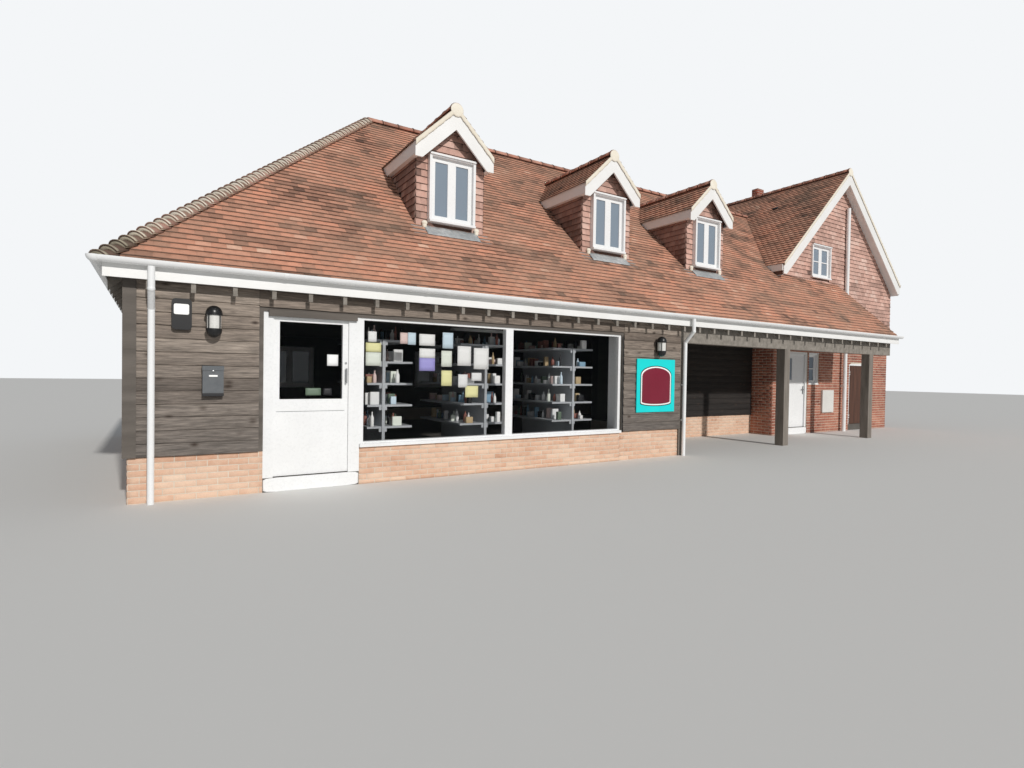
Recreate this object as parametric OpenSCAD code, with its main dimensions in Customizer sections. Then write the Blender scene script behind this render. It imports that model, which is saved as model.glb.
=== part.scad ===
// Corner shop with a lean-to porch and a gabled house wing.
// X runs along the shop front to the right, Y runs back, Z is up.
// The origin is the front left corner of the boarded wall at the lowest ground.

/* [Plan] */
// Length of the boarded shop along its front
shop_length = 8890; // [7000:10:9600]
// Distance from the left corner to the house wing
wing_start = 14200; // [13400:10:16000]
// Depth of the long range from front face to rear face
range_depth = 7980; // [7400:10:9000]
// Depth of the open porch bay behind the front face
porch_depth = 2150; // [1900:10:3000]
// Width of the house wing
wing_width = 6050; // [5800:10:7000]
// Distance that the wing's front stands behind the shop front
wing_setback = 1500; // [1350:10:1800]
// Thickness of the boarded timber-framed walls
board_wall = 220; // [160:5:300]
// Thickness of the brick walls of the wing
brick_wall = 250; // [215:5:350]

/* [Levels] */
// Height of the ground floor over the lowest ground
floor_level = 180; // [120:5:240]
// Height of the brick plinth under the boards
plinth_height = 525; // [400:5:600]
// Distance that the plinth stands behind the board face
plinth_inset = 20; // [5:1:40]
// Underside of the upper floor
upper_floor_level = 2400; // [2360:5:2450]
// Thickness of the upper floor
upper_floor_thickness = 200; // [150:5:240]
// Height where the tile hanging starts
hanging_level = 2750; // [2700:5:2900]
// Thickness of the tile hanging and its battens
hanging_thickness = 45; // [30:1:70]

/* [Main roof] */
// Height of the tiled surface over the fascia's front face
eaves_level = 2690; // [2600:5:2800]
// Distance from the wall face to the fascia's front face
eaves_overhang = 200; // [150:5:300]
// Pitch of the long range's roof in degrees
main_pitch = 43.7; // [40:0.1:47]
// Upright thickness of the tiled deck at the eaves
deck_thickness = 110; // [80:5:150]
// Upright distance from the tiled surface to the rafters' underside
rafter_drop = 320; // [280:5:350]
// Spacing of the rafter feet
rafter_spacing = 430; // [350:10:600]
// Width of a rafter foot
rafter_width = 50; // [38:1:75]
// Place of the porch roof's right verge
verge_x = 17150; // [16900:10:17600]
// Radius of the half-round ridge tiles
ridge_radius = 125; // [100:5:150]

/* [Wing roof] */
// Height of the wing's tiled ridge
wing_ridge_level = 7550; // [7300:10:8000]
// Pitch of the wing's roof in degrees
wing_pitch = 44; // [42:0.1:46]
// Upright thickness of the wing's roof
wing_roof_thickness = 300; // [220:5:350]
// Distance that the wing's roof overhangs its side walls
wing_eaves = 92; // [80:1:200]
// Distance that the wing's roof overhangs its gables
barge_overhang = 268; // [230:1:400]
// Upright depth of the wing's bargeboards
barge_depth = 335; // [280:5:420]
// Height of the plumb foot of the wing's bargeboards
barge_foot = 220; // [180:5:260]
// Thickness of a bargeboard
barge_thickness = 32; // [20:1:45]
// Upright thickness of the tiled verges over the bargeboards
verge_thickness = 65; // [50:1:90]
// Thickness of the soffit boards
soffit_board = 12; // [9:1:18]

/* [Dormers] */
// Centre of the first dormer
dormer_first = 4460; // [4300:10:5000]
// Distance from the first dormer to the second
dormer_gap_one = 3450; // [3000:10:3600]
// Distance from the second dormer to the third
dormer_gap_two = 2960; // [2600:10:3200]
// Place of the dormers' front face
dormer_front = 1097; // [1000:1:1200]
// Width of a dormer between its cheeks' outer faces
dormer_width = 1240; // [1160:10:1400]
// Thickness of a dormer's walls
dormer_wall = 110; // [80:5:140]
// Height of a dormer's ridge
dormer_ridge_level = 5900; // [5800:10:6050]
// Pitch of the dormers' roofs in degrees
dormer_pitch = 44; // [42:0.5:46]
// Upright thickness of a dormer's roof
dormer_roof_thickness = 130; // [100:5:160]
// Distance that a dormer's roof overhangs its cheeks
dormer_eaves = 95; // [60:5:150]
// Distance that a dormer's roof overhangs its front
dormer_overhang = 170; // [100:5:250]
// Upright depth of a dormer's bargeboards
dormer_barge_depth = 296; // [220:2:320]
// Height of the plumb foot of the dormers' bargeboards
dormer_barge_foot = 230; // [180:5:250]
// Radius of the dormers' ridge tiles
dormer_ridge_radius = 105; // [85:5:125]
// Width of a dormer's window
dormer_window_width = 846; // [760:2:900]
// Height of the dormers' sills over the tiles at their front
dormer_sill_rise = 70; // [55:5:110]
// Height of the dormers' windows
dormer_window_height = 1120; // [900:5:1120]

/* [Shop front] */
// Left side of the shop door's frame
front_frame_left = 1413; // [1200:1:1600]
// Side where the door's frame ends and the window's frame starts
front_frame_joint = 2625; // [2600:1:2700]
// Right side of the window's frame
front_frame_right = 7365; // [7000:1:7400]
// Left side of the shop door's leaf
shop_door_left = 1521; // [1500:1:1560]
// Width of the shop door's leaf
shop_door_width = 966; // [900:1:990]
// Top of the shop door's leaf
shop_door_top = 2205; // [2100:1:2210]
// Top of the white frames
front_frame_top = 2260; // [2235:1:2300]
// Underside of the shop window's sill
shop_sill_level = 507; // [450:1:525]
// Bottom of the shop window's glass
shop_glass_bottom = 576; // [570:1:640]
// Top of the shop window's glass
shop_glass_top = 2230; // [2000:1:2232]
// Width of the frame beside the shop window's glass
shop_window_side = 55; // [40:1:160]
// Left side of the shop window's mullion
mullion_left = 4944; // [4500:1:5400]
// Width of the shop window's mullion
mullion_width = 135; // [80:1:180]
// Depth of the pale lining at the shop window's right end
lining_depth = 200; // [120:5:240]
// Width of the dark timber surround
surround_width = 50; // [40:1:90]
// Width of the stiles beside the shop door's glass
door_glass_side = 88; // [70:1:120]
// Bottom of the shop door's glass
door_glass_bottom = 1163; // [1000:1:1300]
// Top of the shop door's glass
door_glass_top = 2150; // [1900:1:2160]
// Middle of the shop door's pull handle
pull_level = 1470; // [1300:5:1500]
// Length of the shop door's pull handle
pull_length = 200; // [150:5:300]

/* [House front] */
// Distance from the wing's left face to its door frame
house_door_offset = 680; // [550:5:800]
// Width of the house door's leaf
house_door_width = 800; // [760:5:850]
// Distance from the wing's left face to the narrow window
narrow_window_offset = 1660; // [1640:5:1700]
// Width of the narrow window
narrow_window_width = 500; // [400:5:600]
// Sill level of the narrow window
narrow_window_sill = 1370; // [1200:5:1500]
// Head level of the house door's frame and the narrow window
house_head = 2270; // [2200:5:2290]
// Distance from the wing's left face to the store door's frame
store_door_offset = 3800; // [3700:5:4200]
// Width of the store door's leaf
store_door_width = 760; // [700:5:900]
// Head level of the store door's frame
store_head = 2010; // [1960:5:2100]
// Width of the frame beside the house and store doors
door_frame_side = 55; // [40:1:70]

/* [Windows] */
// Width of a window frame's outer member
frame_member = 45; // [35:1:60]
// Width of a casement's members
sash_stile = 75; // [50:1:80]
// Width of two casements' meeting stiles
meeting_stile = 150; // [90:2:160]
// Distance that the casements stand behind the frame's face
sash_recess = 60; // [20:1:70]
// Distance that a dormer's frame stands in front of its wall
dormer_frame_stand = 107; // [70:1:120]
// Distance that the gable window's frame stands in front of its wall
gable_frame_stand = 110; // [75:1:120]
// Distance that a frame stands behind a plain wall's face
plain_frame_set = 20; // [5:1:40]
// Distance from the wing's middle to the gable window's left side
gable_window_offset = 1490; // [1200:10:1600]
// Width of the gable windows
gable_window_width = 950; // [800:10:1000]
// Height of the gable windows' sills over the porch's tiles
gable_sill_rise = 160; // [110:5:250]
// Height of the gable windows
gable_window_height = 935; // [800:5:950]
// Left side of the first window in the rear wall
rear_window_first = 2600; // [1500:10:3000]
// Distance from one rear window to the next
rear_window_spacing = 4000; // [3000:10:4200]
// Width of the windows at the rear and at the wing's side
rear_window_width = 1200; // [900:10:1300]
// Sill level of the windows at the rear
rear_window_sill = 1100; // [900:5:1300]
// Height of the windows at the rear
rear_window_height = 1050; // [900:5:1150]
// Place of the window in the wing's right side
side_window_y = 4200; // [3500:10:5000]

/* [Fittings] */
// Distance from the wing's middle to the chimney
chimney_offset = 275; // [200:5:800]
// Distance from the long range's front to the chimney
chimney_y = 4380; // [3500:10:6000]
// Width of the chimney
chimney_width = 330; // [215:5:450]
// Depth of the chimney
chimney_depth = 215; // [215:5:450]
// Height of the chimney over the wing's ridge
chimney_rise = 410; // [200:10:800]
// Distance from the wing's middle to the soil pipe
soil_offset = 305; // [250:5:600]
// Level of the soil pipe's open end
soil_top = 6560; // [6000:10:6700]
// Level of the wall lanterns' lowest point
lantern_level = 1893; // [1700:5:1950]
// Height of a wall lantern
lantern_height = 382; // [300:2:420]
// Radius of a wall lantern's cap
lantern_radius = 91; // [70:1:110]
// Distance from the left corner to the first lantern
lantern_left = 858; // [760:2:1100]
// Distance from the boarded wall's right end to the second lantern
lantern_right = 640; // [400:5:700]
// Distance from the left corner to the alarm box
alarm_left = 434; // [380:2:480]
// Width of the alarm box
alarm_width = 200; // [150:2:240]
// Height of the alarm box
alarm_height = 353; // [250:1:380]
// Level of the alarm box's underside
alarm_level = 1977; // [1700:1:2000]
// Distance from the left corner to the post box
post_box_left = 745; // [650:5:800]
// Width of the post box
post_box_width = 219; // [180:1:300]
// Height of the post box
post_box_height = 350; // [300:5:450]
// Level of the post box's underside
post_box_level = 1215; // [1000:5:1300]
// Depth of the post box
post_box_depth = 110; // [90:5:150]
// Distance from the boarded wall's right end to the sign
sign_right = 190; // [120:5:300]
// Width of the sign
sign_width = 990; // [800:10:1050]
// Height of the sign
sign_height = 985; // [800:5:1050]
// Level of the sign's lower edge
sign_level = 865; // [800:5:1000]
// Distance from the wing's left face to the meter box
meter_offset = 2300; // [2250:10:2700]
// Width of the meter box
meter_width = 580; // [400:10:620]
// Height of the meter box
meter_height = 640; // [500:10:700]
// Level of the meter box's underside
meter_level = 570; // [400:10:700]

/* [Shelving] */
// Middle of the first shelving unit
unit_first = 3134; // [3120:2:3300]
// Distance from the first unit to the second
unit_gap_one = 1727; // [1500:1:1800]
// Distance from the second unit to the third
unit_gap_two = 1818; // [1500:2:1900]
// Distance from the shop's front to the units
unit_start = 500; // [400:5:600]
// Length of a shelving unit
unit_length = 1640; // [1000:10:1640]
// Height of a shelving unit over the floor
unit_height = 1830; // [1500:10:1900]
// Width of a shelf on either side of the unit's middle
shelf_reach = 455; // [300:5:470]
// Thickness of a shelf
shelf_thickness = 30; // [20:1:40]

/* [Door fit] */
// Gap between a leaf and its frame at the hinges and the head
leaf_gap = 5; // [5:1:8]
// Gap between a leaf and its frame at the lock
lock_gap = 9; // [9:1:14]
// Gap under a leaf
floor_gap = 8; // [6:1:15]
// Thickness of a leaf
leaf_thickness = 60; // [45:1:66]
// Radius of a hinge knuckle
knuckle_radius = 8; // [7:0.5:9]
// Radius of a hinge pin
pin_radius = 4.5; // [3:0.5:5]
// Running clearance in the hinges
hinge_clearance = 0.3; // [0.2:0.05:0.5]

/* [Porch] */
// Side of a square porch post
post_side = 200; // [150:5:220]
// Left side of the second post
post_two_x = 12330; // [11500:10:13000]
// Left side of the third post
post_three_x = 16070; // [15500:10:16500]
// Underside of the porch beam
beam_level = 2195; // [2100:5:2250]

/* [Gutters and pipes] */
// Radius of the half-round gutter
gutter_radius = 64; // [50:1:75]
// Thickness of the gutter's wall
gutter_wall = 4; // [3:0.5:6]
// Radius of a downpipe
pipe_radius = 36; // [30:1:45]
// Distance between a downpipe and the wall
pipe_stand_off = 30; // [15:1:50]
// Upright length of a swan neck's first stretch
swan_drop = 240; // [230:5:320]
// Height that a swan neck's slanting stretch falls
swan_fall = 200; // [150:5:300]
// Distance from one gutter union to the next
union_spacing = 1860; // [1500:10:2000]
// Radius of the soil pipe
soil_radius = 55; // [45:1:60]
// Height of the fascia board
fascia_height = 190; // [150:5:225]
// Thickness of the fascia board
fascia_thickness = 25; // [18:1:32]

/* [Hidden] */
// play where one piece is seated on another
seat = 0.3;
dormer_side_board = 18;
bend_collar = 3;
gutter_angle = 10;
gutter_lift = 10;

big = 30000;
ridge_y = range_depth / 2;
main_slope = tan(main_pitch);
main_ridge_level = eaves_level + (ridge_y + eaves_overhang) * main_slope;
deck_edge = eaves_overhang - fascia_thickness;
wing_centre = wing_start + wing_width / 2;
wing_end = wing_start + wing_width;
wing_slope = tan(wing_pitch);
wing_foot = wing_width / 2 + wing_eaves;
dormer_x = [
    dormer_first,
    dormer_first + dormer_gap_one,
    dormer_first + dormer_gap_one + dormer_gap_two
];
dormer_slope = tan(dormer_pitch);
dormer_half = dormer_width / 2;
dormer_back = (dormer_ridge_level - eaves_level) / main_slope - eaves_overhang;
dormer_foot = dormer_half + dormer_eaves;
dormer_foot_lift = verge_thickness - 10;
wing_foot_lift = 10;
dormer_barge_front = dormer_front - dormer_overhang - barge_thickness;
wing_barge_front = wing_setback - barge_overhang - barge_thickness;
house_door_x = wing_start + house_door_offset;
store_door_x = wing_start + store_door_offset;
narrow_window_x = wing_start + narrow_window_offset;
wing_inner_y = wing_setback + brick_wall;
wing_rear_y = range_depth - brick_wall;
hung_front = wing_setback - hanging_thickness;
door_frame_extra = 2 * door_frame_side + leaf_gap + lock_gap;
house_right = house_door_x + house_door_width + door_frame_extra;
store_right = store_door_x + store_door_width + door_frame_extra;

// Height of the tiles, and of the walls under the rafters, some way in from the wall face
function main_level(inward) = eaves_level + (inward + eaves_overhang) * main_slope;
function wall_top(inward) = main_level(inward) - rafter_drop - seat;
function dormer_sill() = main_level(dormer_front) + dormer_sill_rise;
function gable_sill() = main_level(wing_setback - gable_frame_stand) + gable_sill_rise;

// A box given by its lowest and highest corners
module block(low, high) {
    translate(low) cube(high - low);
}

// An outline in Y and Z carried along X
module along_x(x_low, x_high) {
    translate([x_low, 0, 0])
        rotate([90, 0, 90])
            linear_extrude(x_high - x_low)
                children();
}

// An outline in X and Z carried along Y
module along_y(y_low, y_high) {
    translate([0, y_high, 0])
        rotate([90, 0, 0])
            linear_extrude(y_high - y_low)
                children();
}

// Everything under the main roof's tiled surface, lowered by drop
module main_mass(drop = 0, edge = eaves_overhang) {
    edge_level = main_level(-edge) - drop;
    intersection() {
        along_x(-edge, verge_x)
            polygon([
                [-edge, -100],
                [-edge, edge_level],
                [ridge_y, main_ridge_level - drop],
                [range_depth + edge, edge_level],
                [range_depth + edge, -100]
            ]);
        along_y(-big / 10, big / 2)
            polygon([
                [-edge, -200],
                [-edge, edge_level],
                [ridge_y + 1000, main_ridge_level - drop + 1000 * main_slope],
                [big, main_ridge_level - drop + 1000 * main_slope],
                [big, -200]
            ]);
    }
}

// Everything under the wing's tiled surface, lowered by drop
module wing_mass(drop, y_low, y_high, foot = wing_foot) {
    top = wing_ridge_level - drop;
    along_y(y_low, y_high)
        polygon([
            [wing_centre - foot, -100],
            [wing_centre - foot, top - foot * wing_slope],
            [wing_centre, top],
            [wing_centre + foot, top - foot * wing_slope],
            [wing_centre + foot, -100]
        ]);
}

// Everything under the lined ceilings, which the walls run up to
module under_roofs() {
    main_mass(rafter_drop + seat);
    wing_mass(wing_roof_thickness + seat, wing_setback, range_depth);
}

// The plan of each slope, bounded by ridge and hips
module front_sector() {
    polygon([
        [-eaves_overhang, -eaves_overhang],
        [verge_x, -eaves_overhang],
        [verge_x, ridge_y],
        [ridge_y, ridge_y]
    ]);
}

module hip_sector() {
    polygon([
        [-eaves_overhang, -eaves_overhang],
        [ridge_y, ridge_y],
        [-eaves_overhang, range_depth + eaves_overhang]
    ]);
}

// Section of a slope: the tiled deck with the lined rafters inside the wall
module slope_outline() {
    wall_level = main_level(0);
    edge_level = main_level(-deck_edge);
    polygon([
        [-deck_edge, edge_level],
        [ridge_y, main_ridge_level],
        [ridge_y, main_ridge_level - rafter_drop],
        [0, wall_level - rafter_drop],
        [0, wall_level - deck_thickness],
        [-deck_edge, edge_level - deck_thickness]
    ]);
}

// The front slope, cut upright along its hip
module front_slab() {
    intersection() {
        along_x(-big / 10, verge_x) slope_outline();
        linear_extrude(big) front_sector();
    }
}

// The wing's volume, which the main roof stops against
module wing_cut() {
    intersection() {
        wing_mass(0, wing_setback, range_depth + 2000);
        block([wing_start, wing_setback, -big], [big, big, big]);
    }
}

// Room inside a dormer, cut through the roof under it
module dormer_room(x) {
    block(
        [x - dormer_half + dormer_wall, dormer_front + dormer_wall, eaves_level],
        [x + dormer_half - dormer_wall, dormer_room_back(), dormer_plate()]
    );
}

function dormer_plate() = dormer_ridge_level - dormer_roof_thickness - dormer_half * dormer_slope;
function dormer_room_back() = (dormer_plate() - eaves_level) / main_slope - eaves_overhang;

module roof_front() {
    color("sienna")
        difference() {
            front_slab();
            wing_cut();
            for (x = dormer_x) dormer_room(x);
        }
}

module roof_rear() {
    color("sienna")
        difference() {
            translate([0, range_depth, 0]) mirror([0, 1, 0]) front_slab();
            wing_cut();
        }
}

module roof_hip() {
    color("sienna")
        intersection() {
            translate([0, range_depth + big / 10, 0])
                rotate([90, 0, 0])
                    linear_extrude(range_depth + big / 5)
                        slope_outline();
            linear_extrude(big) hip_sector();
        }
}

// The wing's tiled slopes between two upright planes, of a given upright depth
module wing_slopes(depth, y_low, y_high, foot = wing_foot) {
    difference() {
        wing_mass(0, y_low, y_high, foot);
        wing_mass(depth, y_low - 10, y_high + 10, wing_foot + 10);
    }
}

module wing_roof_shell() {
    y_low = wing_setback - barge_overhang;
    y_high = range_depth + barge_overhang;
    strip = barge_thickness + 15;
    strip_foot = wing_foot - wing_foot_lift / wing_slope;
    difference() {
        union() {
            wing_slopes(wing_roof_thickness, y_low, y_high);
            wing_slopes(verge_thickness - seat, y_low - strip, y_low + 10, strip_foot);
            wing_slopes(verge_thickness - seat, y_high - 10, y_high + strip, strip_foot);
        }
        main_mass(rafter_drop);
        difference() {
            main_mass(0);
            block([wing_start, wing_setback, -big], [big, range_depth, big]);
        }
        chimney_shaft();
    }
}

module wing_roof_left() {
    color("sienna")
        intersection() {
            wing_roof_shell();
            block([0, 0, 0], [wing_centre, big, big]);
        }
}

module wing_roof_right() {
    color("sienna")
        intersection() {
            wing_roof_shell();
            block([wing_centre, 0, 0], [big, big, big]);
        }
}

// A half-round roll of ridge tiles along X
module ridge_roll(length, radius = ridge_radius) {
    rotate([0, 90, 0]) cylinder(r = radius, h = length, $fn = 48);
}

// The roll on a dormer's ridge, from its verge back to the main roof
module dormer_ridge_roll(x) {
    front = dormer_barge_front - 15;
    foot_level = dormer_ridge_level - dormer_foot * dormer_slope + seat;
    difference() {
        translate([x, front, dormer_ridge_level - dormer_ridge_radius * 0.4])
            rotate([0, 0, 90])
                ridge_roll(dormer_back + dormer_ridge_radius - front, dormer_ridge_radius);
        translate([x, 0, 0])
            along_y(front - 10, ridge_y)
                polygon([
                    [-dormer_foot, eaves_level],
                    [-dormer_foot, foot_level],
                    [0, dormer_ridge_level + seat],
                    [dormer_foot, foot_level],
                    [dormer_foot, eaves_level]
                ]);
        main_mass(-seat);
    }
}

module ridge_tiles() {
    wing_low = wing_barge_front - 15;
    wing_high = range_depth + barge_overhang + barge_thickness + 15;
    color("firebrick") {
        difference() {
            translate([ridge_y + 60, ridge_y, main_ridge_level - ridge_radius * 0.4])
                ridge_roll(verge_x - ridge_y - 200);
            main_mass(0);
            wing_mass(0, 0, range_depth);
        }
        difference() {
            translate([wing_centre, wing_low, wing_ridge_level - ridge_radius * 0.4])
                rotate([0, 0, 90])
                    ridge_roll(wing_high - wing_low);
            wing_mass(0, -1000, range_depth + 1000);
        }
        for (x = dormer_x) dormer_ridge_roll(x);
    }
}

// A roll along one hip, from the eaves up to the ridge
module hip_roll() {
    run = ridge_y + eaves_overhang;
    rise = run * main_slope;
    length = sqrt(2 * run * run + rise * rise);
    translate([-eaves_overhang, -eaves_overhang, eaves_level - ridge_radius * 0.45])
        rotate([0, 90 - atan2(rise, run * sqrt(2)), 45])
            cylinder(r = ridge_radius * 0.9, h = length, $fn = 48);
}

module hip_tiles() {
    o = eaves_overhang;
    color("firebrick")
        difference() {
            intersection() {
                union() {
                    hip_roll();
                    translate([0, range_depth, 0]) mirror([0, 1, 0]) hip_roll();
                }
                union() {
                    block([-o, -o, 0], [ridge_y + 50, ridge_y - 130, big]);
                    block([-o, ridge_y + 130, 0], [ridge_y + 50, range_depth + o, big]);
                }
            }
            main_mass(-seat);
        }
}

// The board and soffit along one eaves of a dormer
module dormer_side_outline() {
    outer = dormer_foot;
    inner = dormer_foot - dormer_side_board;
    top = dormer_ridge_level - dormer_foot * dormer_slope - seat;
    low = top - dormer_barge_foot + 30;
    polygon([
        [inner, top],
        [outer, top],
        [outer, low],
        [dormer_half + seat, low],
        [dormer_half + seat, low + soffit_board],
        [inner, low + soffit_board]
    ]);
}

// Sloping soffit boards under the wing's overhang at a gable
module wing_soffit(y_low, y_high) {
    top = wing_ridge_level - wing_roof_thickness - seat;
    foot_drop = wing_foot * wing_slope;
    along_y(y_low, y_high)
        translate([wing_centre, 0])
            polygon([
                [-wing_foot, top - foot_drop - soffit_board],
                [-wing_foot, top - foot_drop],
                [0, top],
                [wing_foot, top - foot_drop],
                [wing_foot, top - foot_drop - soffit_board],
                [0, top - soffit_board]
            ]);
}

module fascias() {
    low = eaves_level - fascia_height;
    o = eaves_overhang;
    e = deck_edge;
    foot_top = wing_ridge_level - wing_foot * wing_slope;
    front = wing_setback - barge_overhang + seat;
    rear = range_depth + barge_overhang - seat;
    color("white") {
        block([-o, -o, low], [verge_x, -e, eaves_level]);
        block([-o, -e, low], [-e, range_depth + o, eaves_level]);
        block([-e, range_depth + e, low], [wing_start, range_depth + o, eaves_level]);
        along_x(verge_x + seat, verge_x + fascia_thickness)
            polygon([
                [-o, main_level(-o)],
                [hung_front - seat, main_level(hung_front)],
                [hung_front - seat, main_level(hung_front) - rafter_drop],
                [0, main_level(0) - rafter_drop],
                [-o, low]
            ]);
        block(
            [wing_centre + wing_foot, front, foot_top - fascia_height],
            [wing_centre + wing_foot + fascia_thickness, rear, foot_top]
        );
        difference() {
            union() {
                block(
                    [wing_centre - wing_foot - fascia_thickness, front, foot_top - fascia_height],
                    [wing_centre - wing_foot, rear, foot_top]
                );
                wing_soffit(front, hung_front - seat);
                wing_soffit(range_depth + hanging_thickness + seat, rear);
                for (x = dormer_x)
                    translate([x, 0, 0])
                        for (side = [0, 1])
                            mirror([side, 0, 0])
                                along_y(dormer_front - dormer_overhang + seat, dormer_back)
                                    dormer_side_outline();
            }
            main_mass(-seat);
        }
    }
}

// Section of a rafter foot between the fascia and the wall
module foot_outline() {
    deep = rafter_drop - deck_thickness - seat;
    polygon([
        [-deck_edge, main_level(-deck_edge) - deck_thickness - seat],
        [0, main_level(0) - deck_thickness - seat],
        [0, main_level(0) - deck_thickness - deep],
        [-deck_edge, main_level(-deck_edge) - deck_thickness - deep]
    ]);
}

module foot_row(length) {
    first = (rafter_spacing - rafter_width) / 2;
    for (i = [0 : floor(length / rafter_spacing - 1)])
        translate([first + i * rafter_spacing, 0, 0])
            along_x(0, rafter_width) foot_outline();
}

// Rafter feet along three sides
module rafter_feet() {
    color("dimgray") {
        foot_row(verge_x);
        translate([0, range_depth, 0]) mirror([0, 1, 0]) foot_row(wing_start);
        mirror([1, -1, 0]) foot_row(range_depth);
    }
}

// The brick plinth, down to the lowest ground
module shop_plinth() {
    p = plinth_inset;
    in = board_wall;
    color("indianred") {
        block([p, p, 0], [front_frame_left, in, plinth_height]);
        block([front_frame_joint, p, 0], [front_frame_right, in, shop_sill_level]);
        block([front_frame_right, p, 0], [shop_length - p, in, plinth_height]);
        block([p, p, 0], [in, range_depth - p, plinth_height]);
        block([p, range_depth - in, 0], [wing_start, range_depth - p, plinth_height]);
        block([shop_length - in, p, 0], [shop_length - p, porch_depth + in, plinth_height]);
        block([shop_length - in, porch_depth + p, 0], [wing_start, porch_depth + in, plinth_height]);
    }
}

// Section of a boarded wall whose top follows the rafters
module wall_outline(low) {
    polygon([
        [0, low],
        [0, wall_top(0)],
        [board_wall, wall_top(board_wall)],
        [board_wall, low]
    ]);
}

// A level-topped corner under a hip
module wall_corner() {
    block([0, 0, plinth_height], [board_wall, board_wall, wall_top(0)]);
}

module shop_front_boards() {
    color("dimgray") {
        wall_corner();
        along_x(board_wall, front_frame_left - surround_width) wall_outline(plinth_height);
        along_x(front_frame_right + surround_width, shop_length) wall_outline(plinth_height);
    }
}

module shop_front_header() {
    color("dimgray")
        along_x(front_frame_left - surround_width, front_frame_right + surround_width)
            wall_outline(front_frame_top + surround_width);
}

module shop_side_boards() {
    color("dimgray") {
        translate([0, range_depth - board_wall, 0])
            rotate([90, 0, 0])
                linear_extrude(range_depth - 2 * board_wall)
                    wall_outline(plinth_height);
        block(
            [shop_length - board_wall, board_wall, plinth_height],
            [shop_length, porch_depth, upper_floor_level]
        );
    }
}

module shop_rear_boards() {
    color("dimgray")
        difference() {
            translate([0, range_depth, 0])
                mirror([0, 1, 0]) {
                    wall_corner();
                    along_x(board_wall, wing_start) wall_outline(plinth_height);
                }
            for (w = shop_rear_windows) window_hole(w);
        }
}

// Upright boards at the left corners
module corner_boards() {
    t = 30;
    w = 100;
    color("dimgray") {
        block([-t, -t, plinth_height], [w, -seat, wall_top(-t)]);
        block([-t, -seat, plinth_height], [-seat, w, wall_top(-t)]);
        block([-t, range_depth + seat, plinth_height], [w, range_depth + t, wall_top(-t)]);
        block([-t, range_depth - w, plinth_height], [-seat, range_depth + seat, wall_top(-t)]);
    }
}

module porch_back_boards() {
    color("dimgray")
        block(
            [shop_length - board_wall, porch_depth, plinth_height],
            [wing_start, porch_depth + board_wall, upper_floor_level]
        );
}

// Brick piers beside the house door and the store door
module house_front_wall() {
    y0 = wing_setback;
    y1 = wing_inner_y;
    color("indianred")
        difference() {
            union() {
                block([wing_start, y0, 0], [house_door_x, y1, house_head]);
                block([house_right, y0, 0], [store_door_x, y1, house_head]);
                block([store_right, y0, 0], [wing_end, y1, house_head]);
            }
            window_hole(house_windows[0]);
        }
}

module house_front_upper() {
    color("indianred")
        difference() {
            union() {
                intersection() {
                    under_roofs();
                    block([wing_start, wing_setback, house_head], [wing_end, wing_inner_y, big]);
                }
                block(
                    [store_door_x, wing_setback, store_head],
                    [store_right, wing_inner_y, house_head]
                );
            }
            window_hole(gable_windows[0]);
        }
}

module house_side_walls() {
    color("indianred")
        difference() {
            intersection() {
                under_roofs();
                union() {
                    block([wing_start, wing_inner_y, 0], [wing_start + brick_wall, wing_rear_y, big]);
                    block([wing_end - brick_wall, wing_inner_y, 0], [wing_end, wing_rear_y, big]);
                }
            }
            window_hole(house_windows[2]);
        }
}

module house_rear_wall() {
    color("indianred")
        difference() {
            intersection() {
                under_roofs();
                block([wing_start, wing_rear_y, 0], [wing_end, range_depth, big]);
            }
            window_hole(gable_windows[1]);
            window_hole(house_windows[1]);
        }
}

// Hung tiles that stand in front of the wing's upper walls
module tile_hanging() {
    t = hanging_thickness;
    color("peru")
        difference() {
            intersection() {
                wing_mass(wing_roof_thickness + seat, wing_setback - t, range_depth + t);
                block(
                    [wing_start - t, wing_setback - t, hanging_level],
                    [wing_end + t, range_depth + t, big]
                );
            }
            block([wing_start, wing_setback, 0], [wing_end, range_depth, big]);
            main_mass(0);
            block(
                [wing_start - t, ridge_y, 0],
                [wing_start + 1, range_depth + eaves_overhang, eaves_level + 200]
            );
            for (w = gable_windows) window_hole(w);
        }
}

module ground_floor() {
    in = board_wall;
    p = plinth_inset;
    color("gray") {
        block([in, in, 0], [shop_length - in, range_depth - in, floor_level]);
        block([shop_length - in, porch_depth + in, 0], [wing_start, range_depth - in, floor_level]);
        block([front_frame_left, p, 0], [front_frame_joint, in, floor_level]);
        block(
            [wing_start + brick_wall, wing_inner_y, 0],
            [wing_end - brick_wall, wing_rear_y, floor_level]
        );
        block([house_door_x, wing_setback, 0], [house_right, wing_inner_y, floor_level]);
        block([store_door_x, wing_setback, 0], [store_right, wing_inner_y, floor_level]);
    }
}

module upper_floor() {
    low = upper_floor_level;
    high = upper_floor_level + upper_floor_thickness;
    color("gray") {
        block([board_wall, board_wall, low], [wing_start, range_depth - board_wall, high]);
        block([shop_length, post_side, low], [verge_x - 50, wing_setback, high]);
        block(
            [wing_start + brick_wall, wing_inner_y, low],
            [wing_end - brick_wall, wing_rear_y, high]
        );
    }
}

module porch_posts() {
    color("gray")
        for (x = [shop_length, post_two_x, post_three_x])
            block([x, 0, 0], [x + post_side, post_side, beam_level]);
}

module porch_beam() {
    color("gray")
        along_x(shop_length, verge_x)
            polygon([
                [0, beam_level],
                [0, wall_top(0)],
                [post_side, wall_top(post_side)],
                [post_side, beam_level]
            ]);
}

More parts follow.
